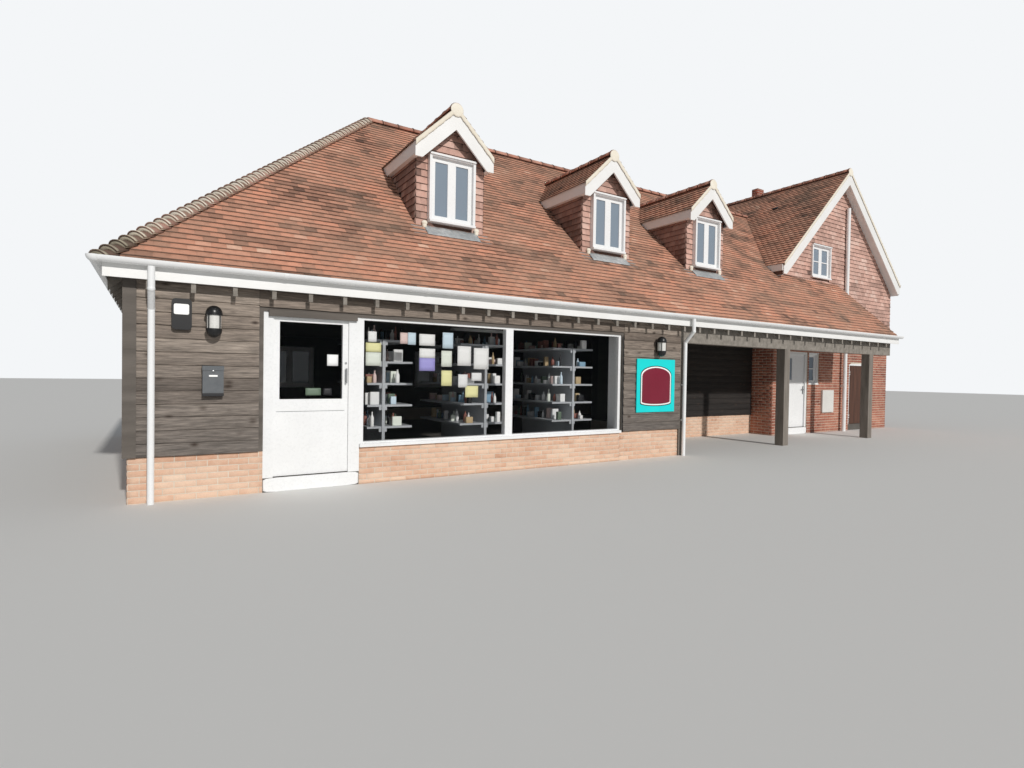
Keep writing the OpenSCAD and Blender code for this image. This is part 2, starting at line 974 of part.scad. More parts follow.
// A half-round gutter along X with stopped ends
module gutter_run(length) {
    rotate([90, 0, 90])
        difference() {
            linear_extrude(length)
                intersection() {
                    circle(r = gutter_radius, $fn = 48);
                    translate([-gutter_radius, -gutter_radius])
                        square([2 * gutter_radius, gutter_radius]);
                }
            translate([0, 0, gutter_wall])
                cylinder(r = gutter_radius - gutter_wall, h = length - 2 * gutter_wall, $fn = 48);
        }
}

// Raised unions, each a strap round the gutter
module gutter_unions(length) {
    r = gutter_radius + gutter_wall;
    strap = 45;
    for (i = [1 : floor(length / union_spacing - 0.1)])
        translate([i * union_spacing, 0, 0])
            rotate([90, 0, 90])
                difference() {
                    intersection() {
                        cylinder(r = r, h = strap, $fn = 48);
                        block([-gutter_radius, -r, 0], [gutter_radius, 0, strap]);
                    }
                    translate([0, 0, -1]) cylinder(r = gutter_radius - 2, h = strap + 2, $fn = 48);
                }
}

// The rounded angle that joins two runs at a corner
module gutter_corner() {
    r = gutter_radius + gutter_angle;
    intersection() {
        sphere(r = r, $fn = 48);
        block([-r, -r, -r], [r, r, 0]);
    }
}

module gutters() {
    out = eaves_overhang + gutter_radius;
    level = eaves_level + gutter_lift;
    foot_top = wing_ridge_level - wing_foot * wing_slope;
    color("white") {
        translate([-out, -out, level]) {
            gutter_run(verge_x + out + 20);
            gutter_unions(verge_x + out);
        }
        translate([-out, range_depth + out, level]) {
            gutter_run(wing_start + out);
            gutter_unions(wing_start + out);
        }
        translate([-out, -out, level]) gutter_corner();
        translate([-out, range_depth + out, level]) gutter_corner();
        translate([-out, -out + gutter_radius + 1, level])
            rotate([0, 0, 90])
                gutter_run(range_depth + 2 * out - 2 * gutter_radius - 2);
        translate([
            wing_centre + wing_foot + fascia_thickness + gutter_radius,
            wing_setback - barge_overhang, foot_top
        ])
            rotate([0, 0, 90])
                gutter_run(range_depth - wing_setback + 2 * barge_overhang);
    }
}

// A downpipe with a swan neck back to the wall, down to the ground
module downpipe(x) {
    out = eaves_overhang + gutter_radius;
    off = pipe_radius + pipe_stand_off;
    top = eaves_level + gutter_lift - gutter_radius;
    run = out - off;
    bend_high = top - swan_drop;
    bend_low = bend_high - swan_fall;
    translate([x, -off, 0]) cylinder(r = pipe_radius, h = bend_low, $fn = 32);
    translate([x, -off, bend_low]) sphere(r = pipe_radius + bend_collar, $fn = 32);
    translate([x, -off, bend_low])
        rotate([atan2(run, swan_fall), 0, 0])
            cylinder(r = pipe_radius, h = sqrt(run * run + swan_fall * swan_fall), $fn = 32);
    translate([x, -out, bend_high]) sphere(r = pipe_radius + bend_collar, $fn = 32);
    translate([x, -out, bend_high]) cylinder(r = pipe_radius, h = swan_drop, $fn = 32);
    for (z = [plinth_height + 150, (plinth_height + beam_level) / 2])
        block([x - 20, -off, z], [x + 20, 0, z + 30]);
}

module downpipes() {
    color("white") {
        downpipe(240);
        downpipe(shop_length + 70);
    }
}

// One dormer's front wall and two cheeks
module dormer_walls(x) {
    color("peru")
        difference() {
            translate([x, 0, 0])
                along_y(dormer_front, dormer_back)
                    polygon([
                        [-dormer_half, 0],
                        [-dormer_half, dormer_plate() - seat],
                        [0, dormer_ridge_level - dormer_roof_thickness - seat],
                        [dormer_half, dormer_plate() - seat],
                        [dormer_half, 0]
                    ]);
            main_mass(0);
            dormer_hollow(x);
            window_hole(dormer_window(x));
        }
}

module dormer_hollow(x) {
    inner = dormer_half - dormer_wall;
    translate([x, 0, 0])
        along_y(dormer_front + dormer_wall, dormer_back + 10)
            polygon([
                [-inner, 0],
                [-inner, dormer_plate() + dormer_wall * dormer_slope],
                [0, dormer_plate() + dormer_half * dormer_slope],
                [inner, dormer_plate() + dormer_wall * dormer_slope],
                [inner, 0]
            ]);
}

module dormer_one() { dormer_walls(dormer_x[0]); }
module dormer_two() { dormer_walls(dormer_x[1]); }
module dormer_three() { dormer_walls(dormer_x[2]); }

module dormer_roof_outline(depth, foot) {
    low = dormer_ridge_level - foot * dormer_slope;
    polygon([
        [-foot, low - depth],
        [-foot, low],
        [0, dormer_ridge_level],
        [foot, low],
        [foot, low - depth],
        [0, dormer_ridge_level - depth]
    ]);
}

// A dormer's slopes, with the thin verge that lies over its bargeboards
module dormer_roof(x) {
    front = dormer_front - dormer_overhang;
    translate([x, 0, 0]) {
        along_y(front, dormer_back + 10)
            dormer_roof_outline(dormer_roof_thickness, dormer_foot - dormer_side_board - seat);
        along_y(dormer_barge_front - 15, front + 5)
            dormer_roof_outline(verge_thickness - seat, dormer_foot - dormer_foot_lift / dormer_slope);
    }
}

module dormer_roofs() {
    color("sienna")
        difference() {
            for (x = dormer_x) dormer_roof(x);
            main_mass(0);
        }
}

// A pair of bargeboards with plumb feet, under a verge
module barge_outline(ridge, foot, slope, depth, foot_height, foot_lift) {
    top = ridge - verge_thickness;
    edge = top - foot * slope + foot_lift;
    low = edge - foot_height;
    level_start = foot - foot_lift / slope;
    inner = (top - depth - low) / slope;
    polygon([
        [-foot, low],
        [-foot, edge],
        [-level_start, edge],
        [0, top],
        [level_start, edge],
        [foot, edge],
        [foot, low],
        [inner, low],
        [0, top - depth],
        [-inner, low]
    ]);
}

module dormer_bargeboards() {
    color("white")
        for (x = dormer_x)
            translate([x, 0, 0])
                along_y(dormer_barge_front, dormer_front - dormer_overhang)
                    barge_outline(
                        dormer_ridge_level, dormer_foot, dormer_slope,
                        dormer_barge_depth, dormer_barge_foot, dormer_foot_lift
                    );
}

module dormer_aprons() {
    color("slategray")
        for (x = dormer_x)
            intersection() {
                difference() {
                    main_mass(-12);
                    main_mass(0);
                }
                block(
                    [x - dormer_half - 90, dormer_front - 190, 0],
                    [x + dormer_half + 90, dormer_front, big]
                );
            }
}

module wing_bargeboards() {
    front = wing_setback - barge_overhang;
    back = range_depth + barge_overhang;
    color("white")
        difference() {
            translate([wing_centre, 0, 0])
                for (y = [front - barge_thickness, back])
                    along_y(y, y + barge_thickness)
                        barge_outline(
                            wing_ridge_level, wing_foot, wing_slope,
                            barge_depth, barge_foot, wing_foot_lift
                        );
            main_mass(0);
        }
}

// Windows as [wall axis, low corner, width, wall depth, sill, head, stand, lights, rails]
function dormer_window(x) = [
    0, [x - dormer_window_width / 2, dormer_front], dormer_window_width, dormer_wall,
    dormer_sill(), dormer_sill() + dormer_window_height, dormer_frame_stand, 2, 0
];
function rear_window(x, wall) = [
    0, [x, range_depth - wall], rear_window_width, wall,
    rear_window_sill, rear_window_sill + rear_window_height, -plain_frame_set, 2, 0
];
function gable_window(x, y) = [
    0, [x, y], gable_window_width, brick_wall,
    gable_sill(), gable_sill() + gable_window_height, gable_frame_stand, 2, 1
];
shop_rear_windows = [
    for (i = [0 : 2]) rear_window(rear_window_first + i * rear_window_spacing, board_wall)
];
house_windows = [
    [
        0, [narrow_window_x, wing_setback], narrow_window_width, brick_wall,
        narrow_window_sill, house_head, -plain_frame_set, 1, 1
    ],
    rear_window(wing_centre - rear_window_width / 2, brick_wall),
    [
        1, [wing_end - brick_wall, side_window_y], rear_window_width, brick_wall,
        rear_window_sill, rear_window_sill + rear_window_height, -plain_frame_set, 2, 0
    ]
];
gable_windows = [
    gable_window(wing_centre - gable_window_offset, wing_setback),
    gable_window(wing_centre - gable_window_width / 2, wing_rear_y)
];

// The hole of a window, a little longer than the wall is thick
module window_hole(w) {
    over = 60;
    if (w[0] == 0)
        block([w[1][0], w[1][1] - over, w[4]], [w[1][0] + w[2], w[1][1] + w[3] + over, w[5]]);
    else
        block([w[1][0] - over, w[1][1], w[4]], [w[1][0] + w[3] + over, w[1][1] + w[2], w[5]]);
}

// Window outlines in X and Z, drawn from the lower left corner
module frame_outline(width, height) {
    difference() {
        square([width, height]);
        translate([frame_member, frame_member])
            square([width - 2 * frame_member, height - 2 * frame_member]);
    }
}

module pane_outline(width, height, lights, rails) {
    side = frame_member + sash_stile;
    rail = 26;
    pane = (width - 2 * side - (lights - 1) * meeting_stile) / lights;
    tall = (height - 2 * side - rails * rail) / (rails + 1);
    for (i = [0 : lights - 1])
        for (k = [0 : rails])
            translate([side + i * (pane + meeting_stile), side + k * (tall + rail)])
                square([pane, tall]);
}

module casement_outline(width, height, lights, rails) {
    inset = frame_member - 5;
    difference() {
        translate([inset, inset])
            square([width - 2 * inset, height - 2 * inset]);
        pane_outline(width, height, lights, rails);
    }
}

// The projecting sill and the drip board over the head
module weather_outline(width, height) {
    square([width, 35]);
    translate([0, height - 30]) square([width, 30]);
}

// Places a window's outline at a depth behind its wall's outer face
module place_window(w, depth, back) {
    outer_first = w[1][1] < ridge_y;
    if (w[0] == 0)
        translate([w[1][0], outer_first ? w[1][1] + back : w[1][1] + w[3] - back - depth, w[4]])
            along_y(0, depth)
                children();
    else
        translate([w[1][0] + w[3] - back - depth, w[1][1], w[4]])
            along_x(0, depth)
                children();
}

all_windows = concat(
    [for (x = dormer_x) dormer_window(x)],
    shop_rear_windows, house_windows, gable_windows
);
frame_seat = 60;
sash_depth = 50;
weather_reach = 25;

module window_frames() {
    color("white")
        for (w = all_windows) {
            tall = w[5] - w[4];
            ring = max(w[6] + frame_seat, sash_recess + sash_depth + 10);
            place_window(w, ring, -w[6]) frame_outline(w[2], tall);
            place_window(w, sash_depth, sash_recess - w[6]) casement_outline(w[2], tall, w[7], w[8]);
            place_window(w, weather_reach + 20, -w[6] - weather_reach) weather_outline(w[2], tall);
        }
}

module window_glass() {
    color("lightblue")
        for (w = all_windows)
            place_window(w, 20, sash_recess + 15 - w[6])
                pane_outline(w[2], w[5] - w[4], w[7], w[8]);
}

module soil_pipe() {
    x = wing_centre + soil_offset;
    y = hung_front - soil_radius - 25;
    steps = 4;
    color("white") {
        translate([x, y, 0]) cylinder(r = soil_radius, h = soil_top, $fn = 40);
        for (i = [0 : steps - 1]) {
            z = soil_top * (0.2 + 0.25 * i);
            block(
                [x - 20, y, z],
                [x + 20, wing_setback - (z > hanging_level ? hanging_thickness : 0), z + 40]
            );
        }
    }
}

// Plan and height of the brick stack, down to the roof's underside
module chimney_shaft() {
    x = wing_centre + chimney_offset;
    low = wing_ridge_level - wing_roof_thickness - (chimney_offset + chimney_width) * wing_slope;
    block(
        [x, chimney_y, low],
        [x + chimney_width, chimney_y + chimney_depth, wing_ridge_level + chimney_rise]
    );
}

module chimney() {
    color("indianred") chimney_shaft();
}

// The dark surround, and the drip board over the door
module shopfront_surround() {
    s = surround_width;
    drip_left = shop_door_left - 50;
    drip_right = shop_door_right + 90;
    color("dimgray") {
        for (x = [front_frame_left - s, front_frame_right])
            block([x, 0, plinth_height], [x + s, board_wall, front_frame_top]);
        block(
            [front_frame_left - s, 0, front_frame_top],
            [front_frame_right + s, board_wall, front_frame_top + s]
        );
        block([drip_left, -30, shop_door_top], [drip_right, 15 - seat, front_frame_top]);
        block([drip_left, -30, front_frame_top], [drip_right, 0, front_frame_top + 20]);
    }
}

// Half of a butt hinge beside a face at y = 0, with its pin 10 mm in front
hinge_height = 100;
hinge_reach = 10;
strap_length = 36;
strap_thickness = 3;

module hinge_side(low, high, dir) {
    inner = dir > 0 ? 3 : -knuckle_radius;
    outer = dir > 0 ? knuckle_radius : -3;
    translate([0, hinge_reach, low]) cylinder(r = knuckle_radius, h = high - low, $fn = 32);
    block([inner, 0, low], [outer, hinge_reach, high]);
    block([dir > 0 ? 3 : -strap_length, 0, low], [dir > 0 ? strap_length : -3, strap_thickness, high]);
}

// Two knuckles and the pin, fixed to the frame
module hinge_fixed() {
    third = hinge_height / 3;
    hinge_side(0, third, -1);
    hinge_side(2 * third, hinge_height, -1);
    translate([0, hinge_reach, 0]) cylinder(r = pin_radius, h = hinge_height, $fn = 32);
}

// The middle knuckle, fixed to the leaf
module hinge_moving() {
    third = hinge_height / 3;
    c = hinge_clearance;
    difference() {
        hinge_side(third + c, 2 * third - c, 1);
        translate([0, hinge_reach, 0]) cylinder(r = pin_radius + c, h = hinge_height, $fn = 32);
    }
}

// Places hinges at the heights in levels on a face that looks in or out
module at_hinges(x, face, side, levels) {
    for (z = levels)
        translate([x, face, z])
            mirror([0, side > 0 ? 0 : 1, 0])
                children();
}

// The hinge line lies in the middle of the gap
function hinge_x(leaf_left) = leaf_left - leaf_gap / 2;

module door_frame(x0, x1, leaf_left, leaf_right, leaf_top, top, y0, stop_y, y1) {
    lip = 12;
    difference() {
        block([x0, y0, floor_level], [x1, y1, top]);
        block(
            [leaf_left - leaf_gap, stop_y, floor_level - 1],
            [leaf_right + lock_gap, y1 + 1, leaf_top + leaf_gap]
        );
        block(
            [leaf_left + lip, y0 - 1, floor_level - 1],
            [leaf_right - lip, y1 + 1, leaf_top - lip]
        );
    }
}

shop_leaf_y = 45;
shop_leaf_in = shop_leaf_y + leaf_thickness;
shop_door_right = shop_door_left + shop_door_width;
leaf_bottom = floor_level + floor_gap;
shop_hinges = [leaf_bottom + 180, leaf_bottom + 960, shop_door_top - 280];

module shop_door_frame() {
    color("white") {
        door_frame(
            front_frame_left, front_frame_joint, shop_door_left, shop_door_right, shop_door_top,
            front_frame_top, 15, shop_leaf_y - 5, shop_leaf_in
        );
        at_hinges(hinge_x(shop_door_left), shop_leaf_in, 1, shop_hinges) hinge_fixed();
    }
}

module leaf(left, right, y, top) {
    block([left, y, leaf_bottom], [right, y + leaf_thickness, top]);
}

module shop_door() {
    x0 = shop_door_left;
    x1 = shop_door_right;
    color("white") {
        difference() {
            leaf(x0, x1, shop_leaf_y, shop_door_top);
            block(
                [x0 + door_glass_side, 0, door_glass_bottom],
                [x1 - door_glass_side, board_wall, door_glass_top]
            );
        }
        at_hinges(hinge_x(x0), shop_leaf_in, 1, shop_hinges) hinge_moving();
    }
}

module shop_door_glass() {
    mid = shop_leaf_y + leaf_thickness / 2;
    color("lightblue")
        block(
            [shop_door_left + door_glass_side, mid - 12, door_glass_bottom],
            [shop_door_right - door_glass_side, mid + 12, door_glass_top]
        );
}

// A lever on a plate at each face of a leaf
module lever_pair(x, y_low, y_high, z) {
    for (side = [-1, 1]) {
        face = side < 0 ? y_low : y_high;
        translate([x - 18, side < 0 ? face - 8 : face, z - 130]) cube([36, 8, 220]);
        translate([x, face, z])
            rotate([side < 0 ? 90 : -90, 0, 0])
                cylinder(r = 8, h = 42, $fn = 24);
        translate([x, face + side * 42, z])
            rotate([0, -90, 0])
                cylinder(r = 10, h = 120, $fn = 24);
    }
}

// An upright pull on two stand-offs at each face of a leaf, with a lock above
module pull_pair(x, y_low, y_high, z) {
    reach = 38;
    for (side = [-1, 1]) {
        face = side < 0 ? y_low : y_high;
        turn = side < 0 ? 90 : -90;
        for (end = [-1, 1])
            translate([x, face, z + end * (pull_length / 2 - 25)])
                rotate([turn, 0, 0])
                    cylinder(r = 8, h = reach, $fn = 24);
        translate([x, face + side * reach, z - pull_length / 2])
            cylinder(r = 12, h = pull_length, $fn = 24);
        translate([x, face, z + pull_length / 2 + 70])
            rotate([turn, 0, 0])
                cylinder(r = 15, h = 9, $fn = 24);
    }
}

module shop_door_handle() {
    color("silver")
        pull_pair(shop_door_right - door_glass_side / 2, shop_leaf_y, shop_leaf_in, pull_level);
}

// The shop window's two lights, left and right of its mullion
shop_lights = [
    [front_frame_joint + shop_window_side, mullion_left],
    [mullion_left + mullion_width, front_frame_right - shop_window_side]
];
module shop_panes(y_low, y_high) {
    for (light = shop_lights)
        block([light[0], y_low, shop_glass_bottom], [light[1], y_high, shop_glass_top]);
}

module shop_window_frame() {
    x0 = front_frame_joint;
    x1 = front_frame_right;
    color("white") {
        difference() {
            block([x0, 20, shop_sill_level], [x1, 120, front_frame_top]);
            shop_panes(0, board_wall);
        }
        block([x0, -35, shop_sill_level], [x1, 25, shop_sill_level + 45]);
        block([x1 - 20, 110, shop_sill_level], [x1, 120 + lining_depth, front_frame_top]);
    }
}

module shop_window_glass() {
    color("lightblue") shop_panes(60, 84);
}

// House door, hung on the left and opening inward
house_leaf_left = house_door_x + door_frame_side + leaf_gap;
house_leaf_right = house_leaf_left + house_door_width;
house_leaf_top = house_head - 60;
house_leaf_y = wing_setback + 60;
house_leaf_in = house_leaf_y + leaf_thickness;
house_hinges = [leaf_bottom + 180, house_leaf_top - 280];

// Store door, hung on the left and opening outward
store_leaf_left = store_door_x + door_frame_side + leaf_gap;
store_leaf_right = store_leaf_left + store_door_width;
store_leaf_top = store_head - 60;
store_leaf_y = wing_setback + 10;
store_leaf_in = store_leaf_y + leaf_thickness;
store_hinges = [leaf_bottom + 180, store_leaf_top - 280];

module house_door_frames() {
    color("white") {
        door_frame(
            house_door_x, house_leaf_right + lock_gap + door_frame_side, house_leaf_left,
            house_leaf_right, house_leaf_top, house_head,
            wing_setback + 20, house_leaf_y - 5, house_leaf_in
        );
        at_hinges(hinge_x(house_leaf_left), house_leaf_in, 1, house_hinges) hinge_fixed();
        translate([0, 2 * store_leaf_y + leaf_thickness, 0])
            mirror([0, 1, 0])
                door_frame(
                    store_door_x, store_leaf_right + lock_gap + door_frame_side, store_leaf_left,
                    store_leaf_right, store_leaf_top, store_head,
                    store_leaf_y - 40, store_leaf_y - 5, store_leaf_in
                );
        at_hinges(hinge_x(store_leaf_left), store_leaf_y, -1, store_hinges) hinge_fixed();
    }
}

slot_left = 110;
slot_width = 110;
slot_bottom = 1500;
slot_top = 2090;
module house_door() {
    color("white") {
        difference() {
            leaf(house_leaf_left, house_leaf_right, house_leaf_y, house_leaf_top);
            block(
                [house_leaf_left + slot_left, 0, slot_bottom],
                [house_leaf_left + slot_left + slot_width, range_depth, slot_top]
            );
        }
        at_hinges(hinge_x(house_leaf_left), house_leaf_in, 1, house_hinges) hinge_moving();
    }
}

module house_door_glass() {
    mid = house_leaf_y + leaf_thickness / 2;
    color("lightblue")
        block(
            [house_leaf_left + slot_left, mid - 10, slot_bottom],
            [house_leaf_left + slot_left + slot_width, mid + 10, slot_top]
        );
}

module house_door_handle() {
    color("silver")
        lever_pair(house_leaf_right - 60, house_leaf_y, house_leaf_in, floor_level + 1050);
}

module store_door() {
    color("saddlebrown") {
        leaf(store_leaf_left, store_leaf_right, store_leaf_y, store_leaf_top);
        at_hinges(hinge_x(store_leaf_left), store_leaf_y, -1, store_hinges) hinge_moving();
    }
}

module meter_box() {
    deep = 60;
    color("whitesmoke")
        translate([wing_start + meter_offset, wing_setback - deep, meter_level])
            cube([meter_width, deep, meter_height]);
}

// Wall lanterns stand this far from the wall, so that their cups clear the boards
function lantern_reach() = lantern_radius + 32;

function lantern_cup() = lantern_level + lantern_radius;
function lantern_rim() = lantern_level + lantern_height - lantern_radius - 25;

// A lantern's cup, glass and domed cap stand over each other
module lantern(x) {
    r = lantern_radius;
    cup = lantern_cup();
    rim = lantern_rim();
    translate([x, -lantern_reach(), 0]) {
        intersection() {
            translate([0, 0, cup]) sphere(r = r * 0.94, $fn = 40);
            block([-r, -r, lantern_level], [r, r, cup]);
        }
        translate([0, 0, cup - 0.5]) cylinder(r = r * 0.94, h = 20, $fn = 40);
        translate([0, 0, rim]) cylinder(r = r, h = 25, $fn = 40);
        intersection() {
            translate([0, 0, rim + 25]) sphere(r = r * 0.97, $fn = 40);
            block([-r, -r, rim + 24], [r, r, rim + 25 + r]);
        }
        for (turn = [45, 135, 225, 315])
            rotate([0, 0, turn])
                block([r * 0.86, -5, cup + 10], [r * 0.94, 5, rim + 5]);
        block([-30, r * 0.86, cup + 2], [30, lantern_reach(), rim + 15]);
    }
}

module lanterns() {
    color("black") {
        lantern(lantern_left);
        lantern(shop_length - lantern_right);
    }
}

module lantern_glass() {
    low = lantern_cup() + 20;
    color("white")
        for (x = [lantern_left, shop_length - lantern_right])
            translate([x, -lantern_reach(), low])
                cylinder(r = lantern_radius * 0.82, h = lantern_rim() - low, $fn = 40);
}

// A box with rounded corners that stands on the wall
module alarm_box() {
    corner = 40;
    color("black")
        along_y(-90, 0)
            translate([alarm_left, alarm_level]) {
                translate([0, corner]) square([alarm_width, alarm_height - 2 * corner]);
                translate([corner, 0]) square([alarm_width - 2 * corner, alarm_height]);
                for (x = [corner, alarm_width - corner])
                    for (z = [corner, alarm_height - corner])
                        translate([x, z]) circle(r = corner, $fn = 32);
            }
}

// A box with a lid that stands a little proud
module post_box() {
    lid = post_box_height * 0.14;
    right = post_box_left + post_box_width;
    top = post_box_level + post_box_height;
    color("dimgray") {
        block([post_box_left, -post_box_depth, post_box_level], [right, 0, top]);
        block([post_box_left - 4, -post_box_depth - 8, top - lid], [right + 4, 0, top + 4]);
    }
}

// A board on two upright battens, clear of the boarding's edges
module sign_board() {
    right = shop_length - sign_right;
    left = right - sign_width;
    top = sign_level + sign_height;
    color("darkturquoise") {
        block([left, -48, sign_level], [right, -30, top]);
        for (x = [left + sign_width * 0.2, right - sign_width * 0.2 - 40])
            block([x, -31, sign_level + 60], [x + 40, 0, top - 60]);
    }
}

// Double-sided shelves on a back panel, with a closed base
module shelving_unit(x, left_reach) {
    y0 = unit_start;
    y1 = unit_start + unit_length;
    levels = 5;
    lowest = 545;
    step = (unit_height - lowest) / (levels - 1);
    block([x - 22, y0, floor_level], [x + 22, y1, floor_level + unit_height]);
    block([x - left_reach, y0 + 20, floor_level], [x + shelf_reach, y1, floor_level + 120]);
    for (i = [0 : levels - 1]) {
        z = floor_level + lowest + i * step;
        block([x - left_reach, y0 + 20, z - shelf_thickness], [x + shelf_reach, y1, z]);
        block([x - 60, y0 + 22, z - 80], [x + 60, y0 + 40, z - shelf_thickness + 1]);
    }
}

module shop_shelving() {
    color("gainsboro") {
        shelving_unit(unit_first, min(shelf_reach, 240));
        shelving_unit(unit_first + unit_gap_one, shelf_reach);
        shelving_unit(unit_first + unit_gap_one + unit_gap_two, shelf_reach);
    }
}

shop_plinth();
shop_front_boards();
shop_front_header();
shop_side_boards();
shop_rear_boards();
corner_boards();
porch_back_boards();
house_front_wall();
house_front_upper();
house_side_walls();
house_rear_wall();
tile_hanging();
ground_floor();
upper_floor();
roof_front();
roof_rear();
roof_hip();
wing_roof_left();
wing_roof_right();
ridge_tiles();
hip_tiles();
fascias();
rafter_feet();
gutters();
downpipes();
dormer_one();
dormer_two();
dormer_three();
dormer_roofs();
dormer_bargeboards();
dormer_aprons();
wing_bargeboards();
window_frames();
window_glass();
soil_pipe();
chimney();
porch_posts();
porch_beam();
shopfront_surround();
shop_door_frame();
shop_window_frame();
shop_window_glass();
shop_door();
shop_door_glass();
shop_door_handle();
house_door_frames();
house_door();
house_door_glass();
house_door_handle();
store_door();
meter_box();
lanterns();
lantern_glass();
alarm_box();
post_box();
sign_board();
shop_shelving();
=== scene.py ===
# %% [markdown]
# Corner shop with a gabled house wing.
# The building is a long, low, boarded range under a hipped clay-tile roof, with three dormers,
# an open porch bay and a brick wing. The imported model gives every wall, roof, frame and door its
# place. This script lays the small things over it: tiles, bricks, boards, ridge and hip tiles.

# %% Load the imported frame
import bpy
import math
import numpy as np
from mathutils import Matrix, Vector


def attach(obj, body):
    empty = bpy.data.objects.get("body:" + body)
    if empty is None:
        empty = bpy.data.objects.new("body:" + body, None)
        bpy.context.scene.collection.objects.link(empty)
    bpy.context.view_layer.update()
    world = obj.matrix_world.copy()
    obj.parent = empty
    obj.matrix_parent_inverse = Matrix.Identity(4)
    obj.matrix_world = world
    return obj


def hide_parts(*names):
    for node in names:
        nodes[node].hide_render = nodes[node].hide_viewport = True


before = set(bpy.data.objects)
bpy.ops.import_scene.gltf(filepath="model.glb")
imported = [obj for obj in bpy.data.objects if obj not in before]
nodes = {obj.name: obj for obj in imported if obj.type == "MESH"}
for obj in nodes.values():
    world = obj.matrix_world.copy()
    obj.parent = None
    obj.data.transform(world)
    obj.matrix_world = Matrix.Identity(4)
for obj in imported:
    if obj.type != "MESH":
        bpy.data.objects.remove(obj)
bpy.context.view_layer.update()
print("frame nodes", len(nodes))

# %% [markdown]
# The camera stands where the photographer stood: a little left of the shop door, at eye height.
# Its place and turn were worked out from the building's own straight edges. An aimed empty could
# do the same, but three angles written down are easier to check.

# %% Camera at the photograph's view
IMAGE_WIDTH = 1024
SENSOR_WIDTH = 36
FOCAL_PIXELS = 566.246
EYE = (0.292, -7.580, 1.525)
YAW, PITCH, ROLL = math.radians(32.13), -0.017, -0.0158

tip = math.cos(PITCH)
forward = np.array([math.sin(YAW) * tip, math.cos(YAW) * tip, math.sin(PITCH)])
level_right = np.array([math.cos(YAW), -math.sin(YAW), 0.0])
level_up = np.cross(level_right, forward)
right = level_right * math.cos(ROLL) - level_up * math.sin(ROLL)
up = level_right * math.sin(ROLL) + level_up * math.cos(ROLL)
lens = bpy.data.cameras.new("camera")
lens.sensor_width = SENSOR_WIDTH
lens.lens = FOCAL_PIXELS * SENSOR_WIDTH / IMAGE_WIDTH
lens.clip_end = 300
camera = bpy.data.objects.new("camera", lens)
turn = np.eye(4)
turn[:3, :3] = np.stack([right, up, -forward], axis=1)
turn[:3, 3] = EYE
camera.matrix_world = Matrix(turn.tolist())
bpy.context.scene.collection.objects.link(camera)
bpy.context.scene.camera = camera
print("lens", round(lens.lens, 3), "mm")

# %% [markdown]
# A soft studio: a pale floor, a pale world and one broad sun from the front, low enough that the
# tiles' tails, the rafter feet and the boxes on the wall throw short shadows straight down.
# The sun is a lamp with a wide angle, which blurs its shadows as a large soft box would.

# %% Floor, world and sun
FLOOR_REACH = 90.0
SUN_SIDE, SUN_HEIGHT = math.radians(3), math.radians(27)
SUN_STRENGTH = 2.5
SKY_STRENGTH = 0.3


def colour(red, green, blue):
    """An sRGB colour of 0 to 255 as linear light: c / 12.92 when dark, else
    ((c + 0.055) / 1.055) ^ 2.4."""
    c = np.array([red, green, blue]) / 255.0
    line = np.where(c <= 0.04045, c / 12.92, ((c + 0.055) / 1.055) ** 2.4)
    return (*line.tolist(), 1.0)


def set_inputs(node, inputs):
    """Inputs of a node, by name or number, each set to a value or joined to an output."""
    for key, value in inputs.items():
        if isinstance(value, bpy.types.NodeSocket):
            node.id_data.links.new(value, node.inputs[key])
        else:
            node.inputs[key].default_value = value


def node_of(tree, kind, inputs=None, **settings):
    """A new node with its properties set, and then its inputs."""
    node = tree.nodes.new(kind)
    for key, value in settings.items():
        setattr(node, key, value)
    set_inputs(node, inputs or {})
    return node


def fresh_material(name):
    """An empty material with a Principled BSDF joined to its output."""
    material = bpy.data.materials.new(name)
    material.use_nodes = True
    tree = material.node_tree
    tree.nodes.clear()
    skin = node_of(tree, "ShaderNodeBsdfPrincipled")
    node_of(tree, "ShaderNodeOutputMaterial", {"Surface": skin.outputs["BSDF"]})
    return material, tree, skin


def build_floor():
    """A flat square centred under the building, z = 0 all over."""
    half = FLOOR_REACH
    corners = [(-half, -half, 0), (half, -half, 0), (half, half, 0), (-half, half, 0)]
    mesh = bpy.data.meshes.new("floor")
    mesh.from_pydata(corners, [], [(0, 1, 2, 3)])
    floor = bpy.data.objects.new("floor", mesh)
    bpy.context.scene.collection.objects.link(floor)
    material, tree, skin = fresh_material("pale_floor")
    set_inputs(skin, {"Base Color": colour(226, 225, 222), "Roughness": 0.9})
    mesh.materials.append(material)


def build_world():
    """The world is plain: white to the camera, softer as a light."""
    world = bpy.data.worlds.new("studio")
    world.use_nodes = True
    tree = world.node_tree
    tree.nodes.clear()
    light, shown = (
        node_of(tree, "ShaderNodeBackground", {"Color": tint, "Strength": strength}).outputs[0]
        for tint, strength in ((colour(236, 242, 250), SKY_STRENGTH), (colour(244, 246, 248), 1.0))
    )
    seen = node_of(tree, "ShaderNodeLightPath").outputs["Is Camera Ray"]
    mix = node_of(tree, "ShaderNodeMixShader", {"Fac": seen, 1: light, 2: shown})
    node_of(tree, "ShaderNodeOutputWorld", {"Surface": mix.outputs[0]})
    bpy.context.scene.world = world


def build_sun():
    """One lamp. It looks back along (sin side * cos height, -cos side * cos height, sin height)."""
    data = bpy.data.lights.new("sun", "SUN")
    data.energy = SUN_STRENGTH
    data.angle = math.radians(2)
    data.color = (1.0, 0.975, 0.94)
    sun = bpy.data.objects.new("sun", data)
    flat = math.cos(SUN_HEIGHT)
    towards = Vector((math.sin(SUN_SIDE) * flat, -math.cos(SUN_SIDE) * flat, math.sin(SUN_HEIGHT)))
    sun.rotation_euler = towards.to_track_quat("Z", "Y").to_euler()
    bpy.context.scene.collection.objects.link(sun)


